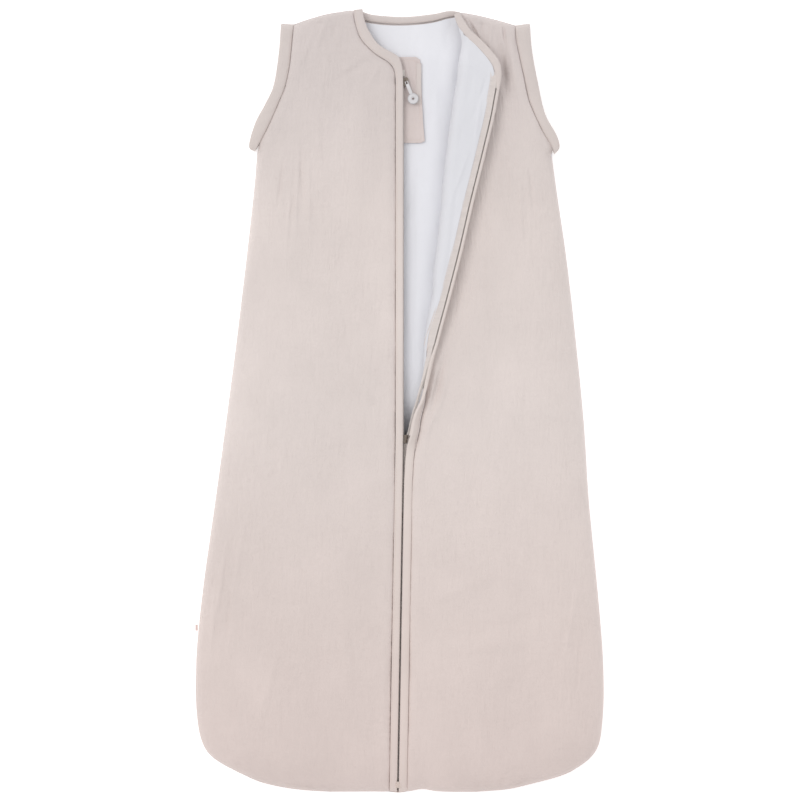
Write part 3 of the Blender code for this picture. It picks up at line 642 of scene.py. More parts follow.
LEFT_WRINKLES = (((-118, 235), 88, 38, 2.6, 1.1), ((-112, 262), 92, 30, 2.2, -0.8),
                 ((-127, 215), 86, 34, 2.4, 0.9), ((-104, 224), 90, 42, 3.0, 0.7),
                 ((-136, 250), 84, 26, 2.4, -0.9), ((-92, 300), 95, 30, 3.0, 0.6),
                 ((-46, 392), 35, 16, 3.2, 0.9), ((-58, 376), 28, 22, 3.6, -0.8),
                 ((-30, 372), 60, 18, 3.0, 0.7), ((-90, 420), 72, 16, 3.0, 0.9),
                 ((-74, 428), 80, 14, 2.6, -0.8), ((-106, 405), 70, 20, 3.0, 0.8),
                 ((-206, -215), 82, 46, 3.2, 1.0), ((-196, -245), 84, 40, 2.8, -0.9),
                 ((-214, -250), 86, 34, 2.4, 0.8), ((-186, -190), 80, 50, 3.4, 0.7),
                 ((-150, -330), 75, 40, 5.0, 0.9), ((-60, -300), 92, 60, 7.0, 0.8))
RIGHT_WRINKLES = (((120, 425), 95, 15, 1.6, -2.0), ((104, 418), 84, 18, 2.8, 0.9),
                  ((96, -280), 8, 50, 9.0, 1.0), ((150, -250), 16, 46, 8.0, -0.8),
                  ((70, -215), 24, 40, 8.0, 0.8), ((196, -260), 80, 40, 3.2, 0.9),
                  ((205, -310), 84, 34, 2.8, -0.8), ((140, 215), 92, 36, 3.0, 0.8),
                  ((152, 240), 96, 30, 2.6, -0.8), ((128, 260), 94, 34, 3.0, 0.6),
                  ((86, 425), -62, 13, 1.5, -2.2), ((73, 441), -58, 7, 1.3, -1.8),
                  ((95, 432), 84, 12, 1.6, -1.0), ((38, 12), 76, 26, 2.4, 1.6), ((43, 18), 76, 24, 3.4, -2.8),
                  ((119, 383), 98, 26, 4.4, -3.2), ((131, 386), 97, 26, 4.4, 1.4),
                  ((49, 4), 76, 24, 2.6, 1.1), ((36, -26), 70, 16, 2.4, 1.2))


def cloth_relief(x, y, wrinkles, seams):
    """Everything that rides on the front's smooth height: filling, crinkles, wrinkles, seams."""
    closed = seam_distance(x, y)
    free = smooth_step(closed, 0, 14 * MM)
    height = gauze(x, y) * (0.1 + 0.9 * smooth_step(closed, 0, 6 * MM)) + wadding_waves(x, y) * free
    for middle, angle, length, width, amount in wrinkles:
        height += 1.5 * ridge(x, y, middle, angle, length, width, amount) * free
    for line in seams:
        near = line_distance(x, y, line)
        pucker = noise(x / (2.6 * MM) + y / (7 * MM), y / (2.9 * MM), 31)
        height += (0.6 * MM * pucker - 2.6 * MM) * np.exp(-near / (1.7 * MM))
        height += 0.8 * MM * np.exp(-((near - 9 * MM) / (6 * MM)) ** 2)
    return height


def panel_grid(outside, inner_x, rows, columns):
    """Plan grid of a panel, from its outside line to its inner line, closer at the outside."""
    y = np.repeat(rows[:, None], columns, axis=1)
    x0 = smooth_boundary(outside, rows)[:, None]
    x1 = inner_x(rows)[:, None]
    steps = edge_steps(columns, 0.35, 1.9)[None]
    return x0 + (x1 - x0) * steps, y


left_neck_seam = curve_through(LEFT_NECK_SEAM, 60)


def left_inner(y):
    neck = left_neck_seam[::-1]
    return np.where(y < neck[0, 1], zip_x(y) - BINDING_SEAM, smooth_boundary(neck, y))


def thickness_under(x, y):
    """Quilt thickness, thinner where front and back are sewn together."""
    return (1.0 + 4.8 * swell(seam_distance(x, y), 10 * MM)) * MM


def make_front(name, outside, inner_x, wrinkles, seams, rows, columns, side):
    """One quilted half of the front and the lining under it."""
    x, y = panel_grid(outside, inner_x, rows, columns)
    top = np.stack((x, y, front_height(x, y) + cloth_relief(x, y, wrinkles, seams)), axis=-1)
    depth = thickness_under(x, y)
    shell = body_mesh(top, DOWN, depth)
    piece = add_piece(name + "_quilt", shell, muslin, "bag",
                      ("front_" + side + "_outer", "front_" + side + "_wadding"))
    coarse = top[::3, ::3].copy()
    smooth = front_height(coarse[..., 0], coarse[..., 1])
    coarse[..., 2] = smooth - depth[::3, ::3] - 1.0 * MM
    coarse[..., 2] += 0.4 * MM * noise(coarse[..., 0] / (12 * MM), coarse[..., 1] / (20 * MM), 41)
    coarse[..., 2] = np.maximum(coarse[..., 2], SEAM_Z - 0.4 * MM)
    shell = body_mesh(coarse, DOWN, 0.5 * MM, 2)
    inside = add_piece(name + "_lining", shell, lining, "bag", ("front_" + side + "_lining",))


def make_left_front():
    zip_line = np.array([(zip_x(y) - BINDING_SEAM, y) for y in (-450 * MM, ZIP_BEND_Y, 366 * MM)])
    seams = (zip_line, left_neck_seam, LEFT_ARMHOLE)
    make_front("left_front", left_outside, left_inner, LEFT_WRINKLES, seams, row_heights(),
               PANEL_COLUMNS, "left")


def turn_x(y):
    """X where the right front starts to turn up."""
    low = zip_x(y) + BINDING_EDGE + 9.6 * MM
    return np.where(y < -95 * MM, low, smooth_keys(FOLD_KEYS, 1, y / MM) * MM)


def right_inner(y):
    """The right front's inner edge: at its binding's seam, or tucked under the fold."""
    seam = turn_x(y) - 0.9 * MM
    return seam + (turn_x(y) + 0.4 * MM - seam) * smooth_step(y, -60 * MM, -40 * MM)


def make_right_front():
    low = np.arange(-450, 40, 10) * MM
    zip_line = np.column_stack((right_inner(low), low))
    rows = row_heights()
    rows = rows[rows < 446.8 * MM]
    make_front("right_front", right_outside, right_inner, RIGHT_WRINKLES, (zip_line, RIGHT_ARMHOLE),
               rows, PANEL_COLUMNS, "right")


# ---------------------------------------------------------------- the fold and the flap

def fold_base(y):
    """Height of the outer face where the cloth starts to turn, and the fold's other sizes."""
    at = y / MM
    start = turn_x(y)
    return {"x": start, "z": front_height(start, y), "run": smooth_keys(FOLD_KEYS, 2, at) * MM,
            "radius": smooth_keys(FOLD_KEYS, 3, at) * MM, "thick": smooth_keys(FOLD_KEYS, 4, at) * MM,
            "turn": np.radians(smooth_keys(FOLD_KEYS, 5, at))}


def fold_point(fold, y, s, depth):
    """A point of the folded cloth, s from its zip edge along the outer face, at a depth in it.
    Depths are those of full cloth, and shrink with it."""
    share = fold["thick"] / QUILT
    depth = depth * share
    arc = fold["radius"] * fold["turn"]
    on_arc = np.clip((fold["run"] + arc - s) / np.maximum(fold["radius"], 1e-6), 0, fold["turn"])
    straight = np.maximum(0, fold["run"] - s)
    flat = np.maximum(0, s - fold["run"] - arc)
    x = fold["x"] + flat - fold["radius"] * np.sin(on_arc) - straight * np.cos(on_arc)
    z = fold["z"] + fold["radius"] * (1 - np.cos(on_arc)) + straight * np.sin(on_arc)
    x = x - np.sin(on_arc) * depth
    z = z - np.cos(on_arc) * depth
    return np.stack(np.broadcast_arrays(x, y, z), axis=-1)


def fold_inward(fold, s):
    arc = fold["radius"] * fold["turn"]
    on_arc = np.clip((fold["run"] + arc - s) / np.maximum(fold["radius"], 1e-6), 0, fold["turn"])
    return np.stack(np.broadcast_arrays(-np.sin(on_arc), np.zeros_like(on_arc), -np.cos(on_arc)), axis=-1)


RAMP_SLOPE = (NECK_Z - CHEST_Z) / (RAMP_Y[1] - RAMP_Y[0])


def bend_with_flap(piece):
    """Bake a flap piece's placement into its mesh."""
    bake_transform(piece)


# Soft wrinkles in the flap's lining, by distance from its edge and height on the bag.
FLAP_WRINKLES = (((26, 352), 100, 26, 2.2, -0.8), ((24, 320), 84, 30, 2.4, 1.0),
                 ((30, 250), 96, 40, 2.6, 0.9), ((23, 190), 84, 36, 2.4, -0.8), ((40, 384), 20, 16, 2.0, 0.8))


def make_flap_cloth():
    """Quilt and lining that turn over at the fold and lie open on the panel."""
    columns = 64
    share = np.linspace(0, 1, columns)[None]
    neck_seam = curve_through(FLAP_NECK_SEAM, 60)

    def fold_grid(rows):
        y = np.repeat(rows[:, None], columns, axis=1)
        fold = {key: np.repeat(value[:, None], columns, axis=1) for key, value in fold_base(rows).items()}
        return y, fold, fold["run"] + fold["radius"] * fold["turn"]

    def neck_stop(y, fold, edge):
        """Distance from the edge at which cloth stops, so that it ends under the neck's binding."""
        seam_x = np.interp(y, neck_seam[:, 1], neck_seam[:, 0])
        tucked = fold["x"] + fold["run"] - seam_x - 1.5 * MM
        return np.where(y > 372 * MM, np.maximum(edge - 3.5 * MM, tucked), edge)

    y, fold, full = fold_grid(np.arange(-56 * MM, CLOTH_TOP, ROW_PITCH))
    s = full + (neck_stop(y, fold, BINDING_SEAM) - full) * share
    skin = fold_point(fold, y, s, np.zeros_like(s))
    inward = fold_inward(fold, s)
    flat_x = 6.2 * MM + s
    relief = gauze(flat_x + 3, y) * 0.8
    skin_out = skin - inward * relief[..., None]
    depth = np.minimum(QUILT_CLOTH, QUILT_CLOTH * fold["thick"] / QUILT)
    shell = body_mesh(skin_out, inward, depth, 2)
    quilt = add_piece("flap_quilt", shell, muslin, None, ("flap_outer", "flap_wadding"))
    bend_with_flap(quilt)
    rows = np.arange(14 * MM, CLOTH_TOP, ROW_PITCH)
    y, fold, full = fold_grid(rows)
    over_top = np.maximum(full - 2.6 * fold["radius"], fold["run"])
    s = full + (np.minimum(neck_stop(y, fold, 12.0 * MM), over_top) - full) * share
    flat_x = 6.2 * MM + s
    puff = 0.9 * MM * noise(flat_x / (14 * MM), y / (30 * MM), 51)
    puff += 0.35 * MM * noise(flat_x / (5 * MM), y / (16 * MM), 52)
    for middle, angle, length, width, amount in FLAP_WRINKLES:
        puff += ridge(flat_x, y, middle, angle, length, width, amount)
    puff *= smooth_step(y, 50 * MM, 90 * MM)
    depth = QUILT * (0.76 + 0.24 * smooth_step(y, 50 * MM, 80 * MM))
    outer = fold_point(fold, y, s, depth) + fold_inward(fold, s) * puff[..., None]
    shell = body_mesh(outer, -fold_inward(fold, s), 0.6 * MM, 3)
    inside = add_piece("flap_lining_cloth", shell, lining, None, ("flap_lining",))
    length = rows[-1] - rows[0]
    bend_with_flap(inside)


def edge_rings(fold, rows, section):
    """Rings of a strip on the folded cloth, with its cross-section as distances from the edge
    and depths in the cloth, both in millimetres."""
    return np.stack([fold_point(fold, rows, np.full_like(rows, s * MM), np.full_like(rows, depth * MM))
                     for s, depth in section], axis=1)


# Binding of the flap's zip edge: it wraps the edge, wide outside and narrow inside.
WRAP_SECTION = ((9.4, 0.5), (9.2, -0.1), (8.4, -0.45), (5.0, -0.6), (2.0, -0.55), (0.7, -0.2), (0.1, 0.7),
                (0.0, 2.4), (0.05, 4.4), (0.25, 5.9), (0.9, 6.9), (2.0, 7.3), (3.0, 7.1), (3.6, 6.3),
                (3.7, 5.0), (3.3, 3.6), (4.4, 2.7), (8.6, 2.6), (9.3, 1.6))
# Its folded neck edge, as shares of the width and of half the thickness.
ROLL_SECTION = ((0.0, -0.5), (0.0, 0.2), (0.06, 0.62), (0.2, 0.88), (0.42, 1.0), (0.66, 0.98), (0.85, 0.82),
                (0.96, 0.5), (1.0, 0.0), (0.96, -0.5), (0.85, -0.82), (0.66, -0.98), (0.4, -1.0),
                (0.12, -0.9))


def make_flap_edge():
    """Binding, tape, stitches and coil along the flap's zip edge, and the binding of its neck."""
    rows = np.arange(-40 * MM, EDGE_TOP, STRIP_PITCH)
    shell = tube_mesh(edge_rings(fold_base(rows), rows, WRAP_SECTION))
    binding = add_piece("flap_bias_binding", shell, bias, None, ("flap_binding",))
    bend_with_flap(binding)

    count = 72
    edge = curve_through(FLAP_NECK_EDGE, count)
    seam = curve_through(FLAP_NECK_SEAM, count)
    neck = fold_base((edge[:, 1] + seam[:, 1]) / 2)
    low = smooth_step(edge[:, 1], 412 * MM, 446 * MM)
    thick = 8.3 * MM - 3.3 * MM * low
    level = neck["z"] + 2 * neck["radius"] - 0.6 * MM + thick - 1.5 * MM * low
    rings = ribbon_rings(np.column_stack((seam, level)), np.column_stack((edge, level)), thick,
                         ROLL_SECTION, ripple=0.2 * MM)
    shell = tube_mesh(rings)
    binding = add_piece("flap_bias_neck", shell, bias, None)
    bend_with_flap(binding)

    rows = np.arange(-42 * MM, EDGE_TOP, STRIP_PITCH)
    fold = fold_base(rows)
    section = ((5.0, 6.6), (8.8, 6.7), (12.6, 7.4), (12.6, 6.6), (8.8, 5.8), (5.0, 5.7))
    rings = edge_rings(fold, rows, section)
    twisted = rows / MM
    inner = np.column_stack((smooth_keys(TWIST_KEYS, 3, twisted) * MM, rows,
                             plateau(rows) + smooth_keys(TWIST_KEYS, 4, twisted) * MM))
    outer = np.column_stack((smooth_keys(TWIST_KEYS, 1, twisted) * MM, rows,
                             plateau(rows) + smooth_keys(TWIST_KEYS, 2, twisted) * MM))
    sink = np.cross(lines_up(inner), outer - inner)
    sink = -0.8 * MM * sink / np.linalg.norm(sink, axis=1)[:, None]
    sink *= np.sign(-sink[:, 2:])
    middle = (inner + outer) / 2
    free = np.stack((inner, middle, outer, outer + sink, middle + sink, inner + sink), axis=1)
    share = smooth_step(rows, 46 * MM, 68 * MM)[:, None, None]
    rings = free + (rings - free) * share
    shell = tube_mesh(rings)
    strip = add_piece("flap_tape", shell, tape, None, ("flap_zip_tape",))
    bend_with_flap(strip)

    upper = rows > 60 * MM
    line = (rings[:, 1] * 0.3 + rings[:, 2] * 0.7)[upper]
    shell = stitch_row(line + UP * 0.1 * MM)
    seam_stitches = add_piece("flap_tape_stitches", shell, pale_thread, None)
    bend_with_flap(seam_stitches)

    across = rings[:, 2] - rings[:, 0]
    low = 1.3 * MM * smooth_step(rows, 30 * MM, 60 * MM)[:, None]
    line = rings[:, 0] + DOWN * low + 0.2 * across / np.linalg.norm(across, axis=1)[:, None] * MM
    shell = coil_mesh(line[rows < 357 * MM], across[rows < 357 * MM])
    coil = add_piece("flap_zip_coil", shell, nylon, None, ("flap_coil",))
    bend_with_flap(coil)

    pin_rows = np.linspace(357.5 * MM, 372 * MM, 12)
    fold = fold_base(pin_rows)
    taper = np.array((0.5, 0.85, 1, 1, 1, 1, 1, 1, 1, 0.95, 0.8, 0.4))
    turns = np.linspace(0, 2 * math.pi, 12, endpoint=False)
    rings = [fold_point(fold, pin_rows, (4.3 + 0.9 * taper * math.cos(t)) * MM,
                        (5.6 + 1.1 * taper * math.sin(t)) * MM) for t in turns]
    shell = tube_mesh(np.stack(rings, axis=1))
    add_piece("insertion_pin", shell, nylon, "flap", ("zip_insertion_pin",))


# ---------------------------------------------------------------- zip

def coil_mesh(line, across):
    """Nylon coil along a line. across gives, for each point, the way to the tape."""
    run = run_along(line)
    turns = int(run[-1] / COIL_PITCH)
    per_turn = 8
    count = turns * per_turn
    at = np.linspace(0, run[-1], count)
    middle = values_at(at, run, line)
    side = values_at(at, run, across)
    side /= np.linalg.norm(side, axis=1)[:, None]
    along = lines_up(middle)
    over = np.cross(along, side)
    phase = 2 * math.pi * np.arange(count) / per_turn
    loop = middle + side * (1.15 * MM * np.cos(phase))[:, None] + over * (0.75 * MM * np.sin(phase))[:, None]
    way = lines_up(loop)
    first = np.cross(way, side + 0.3 * over)
    first /= np.linalg.norm(first, axis=1)[:, None]
    second = np.cross(way, first)
    rings = [loop + 0.34 * MM * (first * math.cos(t) + second * math.sin(t))
             for t in np.linspace(0, 2 * math.pi, 5, endpoint=False)]
    return tube_mesh(np.stack(rings, axis=1))


def zip_line(side, distance, depth, stations):
    """Points beside the zip line, at a depth under the front's outer face."""
    middle = zip_x(stations)
    height = front_height(middle, stations)
    return np.column_stack((middle + side * distance, stations, height - depth))


def make_zip():
    full = np.arange(-434 * MM, 372 * MM, 2.0 * MM)
    lower = full[full < -39 * MM]
    for side, word, stations in ((-1, "left", full), (1, "right", lower)):
        corners = ((0.2, 4.9), (7.0, 4.8), (12.6, 4.9), (12.6, 5.7), (7.0, 5.6), (0.2, 5.7))
        rings = [zip_line(side, distance * MM, depth * MM, stations) for distance, depth in corners]
        shell = tube_mesh(np.stack(rings, axis=1))
        strip = add_piece(word + "_tape", shell, tape, "bag", (word + "_zip_tape",))
        line = zip_line(side, 1.5 * MM, 5.3 * MM, stations)
        across = np.broadcast_to(np.array((side, 0.0, 0.0)), line.shape)
        shell = coil_mesh(line, across)
        add_piece(word + "_zip_coil", shell, nylon, "bag", (word + "_coil",))


# Binding of the right half of the closed zip, as distances from its edge and depths.
LOW_SECTION = ((9.4, 1.4), (9.35, 0.5), (9.1, -0.1), (8.2, -0.45), (4.8, -0.6), (1.8, -0.5), (0.6, -0.2),
               (0.1, 0.5), (0.0, 1.4), (0.2, 2.3), (0.9, 2.7), (4.5, 2.7), (8.6, 2.6), (9.2, 2.2))


def make_bindings():
    """Bias bindings of the left neck and zip, of the right of the closed zip, and of the back neck."""
    stations = np.arange(364 * MM, -449.5 * MM, -1.6 * MM)
    neck_count = 90
    seam = np.vstack((curve_through(LEFT_NECK_SEAM, neck_count)[:-2],
                      np.column_stack((zip_x(stations) - BINDING_SEAM, stations))))
    edge = np.vstack((curve_through(LEFT_NECK_EDGE, neck_count)[:-2],
                      np.column_stack((zip_x(stations) - BINDING_EDGE, stations))))
    add_binding("left_bias_binding", seam, edge, 3.2 * MM, ("left_front_binding",))
    stations = np.arange(-39.5 * MM, -449.5 * MM, -1.6 * MM)
    rings = edge_rings(fold_base(stations), stations, LOW_SECTION)
    shell = tube_mesh(rings)
    add_piece("right_bias_binding", shell, bias, "bag", ("right_zip_binding",))
    line = (rings[:, 3] * 0.85 + rings[:, 4] * 0.15)
    shell = stitch_row(line)
    add_piece("right_bias_stitches", shell, thread, "bag")

    count = 110
    seam = curve_through(BACK_NECK_SEAM, count)
    edge = curve_through(BACK_NECK_EDGE, count)
    level = np.full(count, BACK_Z + 0.9 * MM)
    seam = np.column_stack((seam, level))
    edge = np.column_stack((edge, level))
    shell = tube_mesh(ribbon_rings(seam, edge, 7.6 * MM, ripple=0.2 * MM))
    add_piece("back_neck_bias", shell, bias, "bag", ("neck_binding_back",))
    shell = stitch_row(seam + (edge - seam) * 0.18)
    add_piece("back_neck_stitches", shell, thread, "bag")


def add_binding(name, seam, edge, thickness, replaces):
    """Binding on the front, with a row of stitches beside its seam."""
    middle = (seam + edge) / 2
    level = front_height(middle[:, 0], middle[:, 1]) + 0.4 * MM
    seam = np.column_stack((seam, level))
    edge = np.column_stack((edge, level))
    shell = tube_mesh(ribbon_rings(seam, edge, thickness, ripple=0.12 * MM))
    add_piece(name, shell, bias, "bag", replaces)
    line = seam + (edge - seam) * 0.2 - UP * 0.12 * MM
    shell = stitch_row(line)
    add_piece(name + "_stitches", shell, thread, "bag")


BAND_SECTION = ((0.0, -0.5), (0.02, 0.2), (0.1, 0.68), (0.28, 0.95), (0.52, 1.0), (0.76, 0.92),
                (0.92, 0.6), (1.0, 0.0), (0.96, -0.55), (0.8, -0.9), (0.5, -1.0), (0.15, -0.95))


def make_armhole_bands():
    """Folded bands round the armholes, on the front and on the back."""
    count = 96
    for side, inner, outer in (("left", LEFT_ARMHOLE, LEFT_BAND), ("right", RIGHT_ARMHOLE, RIGHT_BAND)):
        seam = curve_through(inner[1:], count)
        edge = curve_through(outer, count)
        front = front_height(seam[:, 0], seam[:, 1]) - 0.8 * MM
        back = np.full(count, BACK_Z - 0.6 * MM)
        for half, level, thick in (("front", front, 5.6 * MM), ("back", back, 6.6 * MM)):
            inside = np.column_stack((seam, level))
            outside = np.column_stack((edge, level))
            rings = ribbon_rings(inside, outside, thick, BAND_SECTION, ripple=0.25 * MM)
            shell = tube_mesh(rings)
            name = "armhole_" + side + "_" + half
            add_piece(name, shell, band_cotton, "bag", ("armhole_band_" + side + "_" + half,))
            shell = stitch_row(inside + (outside - inside) * 0.12 - UP * 0.9 * MM)
            add_piece(name + "_stitches", shell, thread, "bag")


# ---------------------------------------------------------------- back

back_top = np.vstack((curve_through(LEFT_SHOULDER, 40)[:-2], curve_through(BACK_NECK_SEAM, 60),
                      curve_through(RIGHT_SHOULDER, 40)[::-1][2:]))


def back_grid(rows, columns, inset):
    """Plan grid of the back: rows up to the armhole tops, then up to the shoulders and neck."""
    t = np.linspace(-1, 1, columns)
    t = np.sign(t) * (1 - (1 - np.abs(t)) ** 1.25)
    rows = rows[rows < 425 * MM]
    left = smooth_boundary(left_outside, rows) + inset
    right = smooth_boundary(right_outside, rows) - inset
    x = (left + right)[:, None] / 2 + (right - left)[:, None] / 2 * t[None]
    y = np.repeat(rows[:, None], columns, axis=1)
    top_x = np.clip(x[-1], back_top[0, 0], back_top[-1, 0])
    top_y = np.interp(top_x, back_top[:, 0], back_top[:, 1]) - inset / 2
    share = np.linspace(0, 1, 11)[1:, None]
    x = np.vstack((x, x[-1] + (top_x - x[-1]) * share))
    y = np.vstack((y, y[-1] + (top_y - y[-1]) * share))
    return x, y


def make_back():
    """Outer cloth and wadding of the back."""
    x, y = back_grid(row_heights(), 200, 0.0)
    closed = seam_distance(x, y)
    belly = (SEAM_Z - 1.0 * MM) * (1 - swell(closed, 11 * MM))
    z = belly + (gauze(x + 1, y) + 0.5 * MM) * smooth_step(closed, 0, 9 * MM)
    z = np.maximum(z, 0.02 * MM)
    under = np.stack((x, y, z), axis=-1)
    depth = np.maximum(1.0 * MM, (BACK_Z - 1.6 * MM - z) * swell(closed, 10 * MM))
    shell = body_mesh(under, UP, depth)
    back = add_piece("back_quilt", shell, muslin, "bag", ("back_outer", "back_wadding"))


def make_back_lining():
    x, y = back_grid(np.linspace(-446 * MM, CLOTH_TOP, 250), 150, 2.5 * MM)
    folds = 0.9 * MM * noise(x / (15 * MM), y / (55 * MM), 61)
    folds += 0.35 * MM * noise(x / (6 * MM), y / (22 * MM), 62)
    closed = seam_distance(x, y)
    armholes = [line_distance(x, y, line) for line in (LEFT_ARMHOLE, RIGHT_ARMHOLE)]
    edge = np.minimum.reduce([closed] + armholes)
    z = BACK_Z - 0.9 * MM + (folds + 0.9 * MM) * smooth_step(edge, 0, 10 * MM)
    z -= (BACK_Z - SEAM_Z) * (1 - swell(closed, 9 * MM))
    puffed = np.exp(-((x - 34 * MM) / (58 * MM)) ** 4)
    puffed *= smooth_step(y, -60 * MM, 10 * MM) * smooth_step(-y, -432 * MM, -390 * MM)
    beside_zip = smooth_step(x, 10 * MM, 22 * MM) * smooth_step(-y, -300 * MM, -240 * MM)
    under_zip = np.maximum(plateau(y) - 11.0 * MM - BACK_Z, 0)
    z += (under_zip + 3.0 * MM * beside_zip) * puffed
    top = np.stack((x, y, z), axis=-1)
    shell = body_mesh(top, DOWN, 0.6 * MM, 3)
    # lining painted lighter than its own colour, standing in for light in the shaded opening
    inside = add_piece("back_lining_cloth", shell, brightened_back_lining, "bag", ("back_lining",))


# ---------------------------------------------------------------- small parts

def rounded_outline(half_x, half_y, radius, middle=(0.0, 0.0)):
    """Corner-rounded rectangle as points, round a middle."""
    steps = 5
    points = []
    for turn, (sx, sy) in enumerate(((1, 1), (-1, 1), (-1, -1), (1, -1))):
        for step in range(steps + 1):
            angle = math.pi / 2 * (turn + step / steps)
            points.append((sx * (half_x - radius) + radius * math.cos(angle),
                           sy * (half_y - radius) + radius * math.sin(angle)))
    return np.array(points) + middle


def slab(outline, low, high, bevel=0.3 * MM):
    """Plate from an outline, with its rims rounded off."""
    middle = outline.mean(axis=0)
    span = np.abs(outline - middle).max()
    rings = []
    for inset, level in ((bevel, low), (0.3 * bevel, low + 0.3 * bevel), (0, low + bevel), (0, high - bevel),
                         (0.3 * bevel, high - 0.3 * bevel), (bevel, high)):
        shrink = 1 - inset / span
        ring = middle + (outline - middle) * shrink
        rings.append(np.column_stack((ring, np.full(len(ring), level))))
    return tube_mesh(rings)


def bar_between(points, radius, sides):
    """Round bar along a short line of points."""
    points = np.asarray(points, float)
    way = lines_up(points)
    side = np.cross(way, (1.0, 0.0, 0.0))
    if np.linalg.norm(side, axis=1).min() < 1e-3:
        side = np.cross(way, (0.0, 1.0, 0.0))
    side /= np.linalg.norm(side, axis=1)[:, None]
    over = np.cross(way, side)
    rings = [points + radius * (side * math.cos(t) + over * math.sin(t))
             for t in np.linspace(0, 2 * math.pi, sides, endpoint=False)]
    return tube_mesh(np.stack(rings, axis=1))


def moved(part, matrix):
    verts, faces = part
    place = np.array(matrix.to_3x3())
    return np.asarray(verts) @ place.T + np.array(matrix.translation), faces


def slider_outline():
    """Plan of a slider's plates: wide shoulders where the coils part, narrow at the tail."""
    right = [(2.6, -5.0), (3.3, -4.6), (3.6, -3.6), (3.7, -1.5), (4.1, 0.5), (4.7, 2.2), (4.8, 3.6),
             (4.2, 4.6), (3.0, 5.0), (1.6, 4.9), (0.6, 4.5), (0.0, 4.2)]
    left = [(-x, y) for x, y in right[-2::-1]]
    return curve_through(np.array(right + left) * MM, 60)


def slider_mesh(arch_x, arch_turn, arch_side):
    """Two shaped plates, the post between them and the arch that holds the pull."""
    outline = slider_outline()
    parts = [slab(outline, -4.0 * MM, -2.9 * MM), slab(outline, -7.7 * MM, -6.6 * MM)]
    parts.append(slab(rounded_outline(0.5 * MM, 1.5 * MM, 0.4 * MM, (0, 3.0 * MM)), -7.0 * MM, -3.6 * MM))
    base = -2.9 * MM if arch_side > 0 else -7.7 * MM
    t = np.linspace(0, math.pi, 15)
    rise = (2.1 * np.sin(t) ** 0.6 - 0.3) * MM * arch_side
    bow = np.column_stack((np.zeros_like(t), 1.9 * MM * np.cos(t), rise))
    arch = bar_between(bow, 0.5 * MM, 10)
    spin = Matrix.Translation((arch_x, 0, base)) @ Matrix.Rotation(arch_turn, 4, "Z")
    parts.append(moved(arch, spin))
    return join_meshes(parts)


def joint_place(name):
    """The pivot and axis of a joint in the record."""
    for joint in frame["record"]["behaviour"]["joints"]:
        if joint["name"] == name:
            return joint
    raise KeyError(name)


def make_sliders():
    slope = math.atan(RAMP_SLOPE)
    base = Vector((ZIP_X, UPPER_SLIDER_Y, plateau(UPPER_SLIDER_Y)))
    lie = Matrix.Translation(base) @ Matrix.Rotation(slope, 4, "X")
    shell = moved(slider_mesh(2.6 * MM, PULL_TURN, 1), lie)
    add_piece("upper_slider_metal", shell, gunmetal, "upper_slider",
              ("upper_slider_body",), HARD_SHARP)
    lean = Matrix.Rotation(-math.atan(ZIP_LEAN), 4, "Z")
    base = Vector((zip_x(LOWER_SLIDER_Y), LOWER_SLIDER_Y, CHEST_Z))
    shell = moved(slider_mesh(0.0, 0.0, -1), Matrix.Translation(base) @ lean)
    add_piece("lower_slider_metal", shell, gunmetal, "lower_slider",
              ("lower_slider_body",), HARD_SHARP)


def ring_mesh(middle, inner, outer, low, high, steps=40):
    """Flat ring with rounded rims."""
    rings = []
    for angle in np.linspace(0, 2 * math.pi, steps, endpoint=False):
        way = np.array((math.cos(angle), math.sin(angle)))
        b = 0.25 * (outer - inner)
        profile = ((inner, low + b), (inner + b, low), (outer - b, low), (outer, low + b),
                   (outer, high - b), (outer - b, high), (inner + b, high), (inner, high - b))
        rings.append([(middle[0] + way[0] * r, middle[1] + way[1] * r, z) for r, z in profile])
    return tube_mesh(rings, closed=True)


def pull_mesh(length, disc):
    """Cross bar, two arms, tab, and a disc with a raised rim and a small eyelet."""
    parts = [bar_between([(-1.8 * MM, 0, 0), (0, 0, 0), (1.8 * MM, 0, 0)], 0.55 * MM, 12)]
    for side in (-1, 1):
        arm = rounded_outline(0.4 * MM, 1.9 * MM, 0.3 * MM, (side * 1.45 * MM, -1.7 * MM))
        parts.append(slab(arm, -0.45 * MM, 0.45 * MM, 0.2 * MM))
    tab_end = -length + (disc * 0.9 if disc else 0)
    middle = (-2.9 * MM + tab_end) / 2
    outline = rounded_outline(2.0 * MM, (-2.9 * MM - tab_end) / 2, 0.9 * MM, (0, middle))
    parts.append(slab(outline, -0.55 * MM, 0.55 * MM, 0.25 * MM))
    if disc:
        parts.append(ring_mesh((0, -length), 1.3 * MM, disc, -0.8 * MM, 0.8 * MM, 56))
        parts.append(ring_mesh((0, -length), disc * 0.78, disc * 0.92, 0.55 * MM, 1.0 * MM, 56))
    return join_meshes(parts)


def make_pulls():
    swing = joint_place("upper_pull_swing")
    slope = math.atan(RAMP_SLOPE)
    turn = Matrix.Rotation(slope, 3, "X") @ Matrix.Rotation(PULL_TURN, 3, "Z")
    turn = turn @ Matrix.Rotation(math.radians(3), 3, "X")
    place = Matrix.Translation(swing["pos_m"]) @ turn.to_4x4()
    shell = moved(pull_mesh(21 * MM, 6.4 * MM), place)
    add_piece("upper_pull_moulding", shell, pull_plastic, "upper_pull",
              ("upper_pull_tab",), HARD_SHARP)
    swing = joint_place("lower_pull_swing")
    turn = Matrix.Rotation(-math.atan(ZIP_LEAN), 3, "Z") @ Matrix.Rotation(math.pi / 2, 3, "X")
    place = Matrix.Translation(swing["pos_m"]) @ turn.to_4x4()
    shell = moved(pull_mesh(14 * MM, 0), place)
    add_piece("lower_pull_metal", shell, gunmetal, "lower_pull",
              ("lower_pull_tab",), HARD_SHARP)


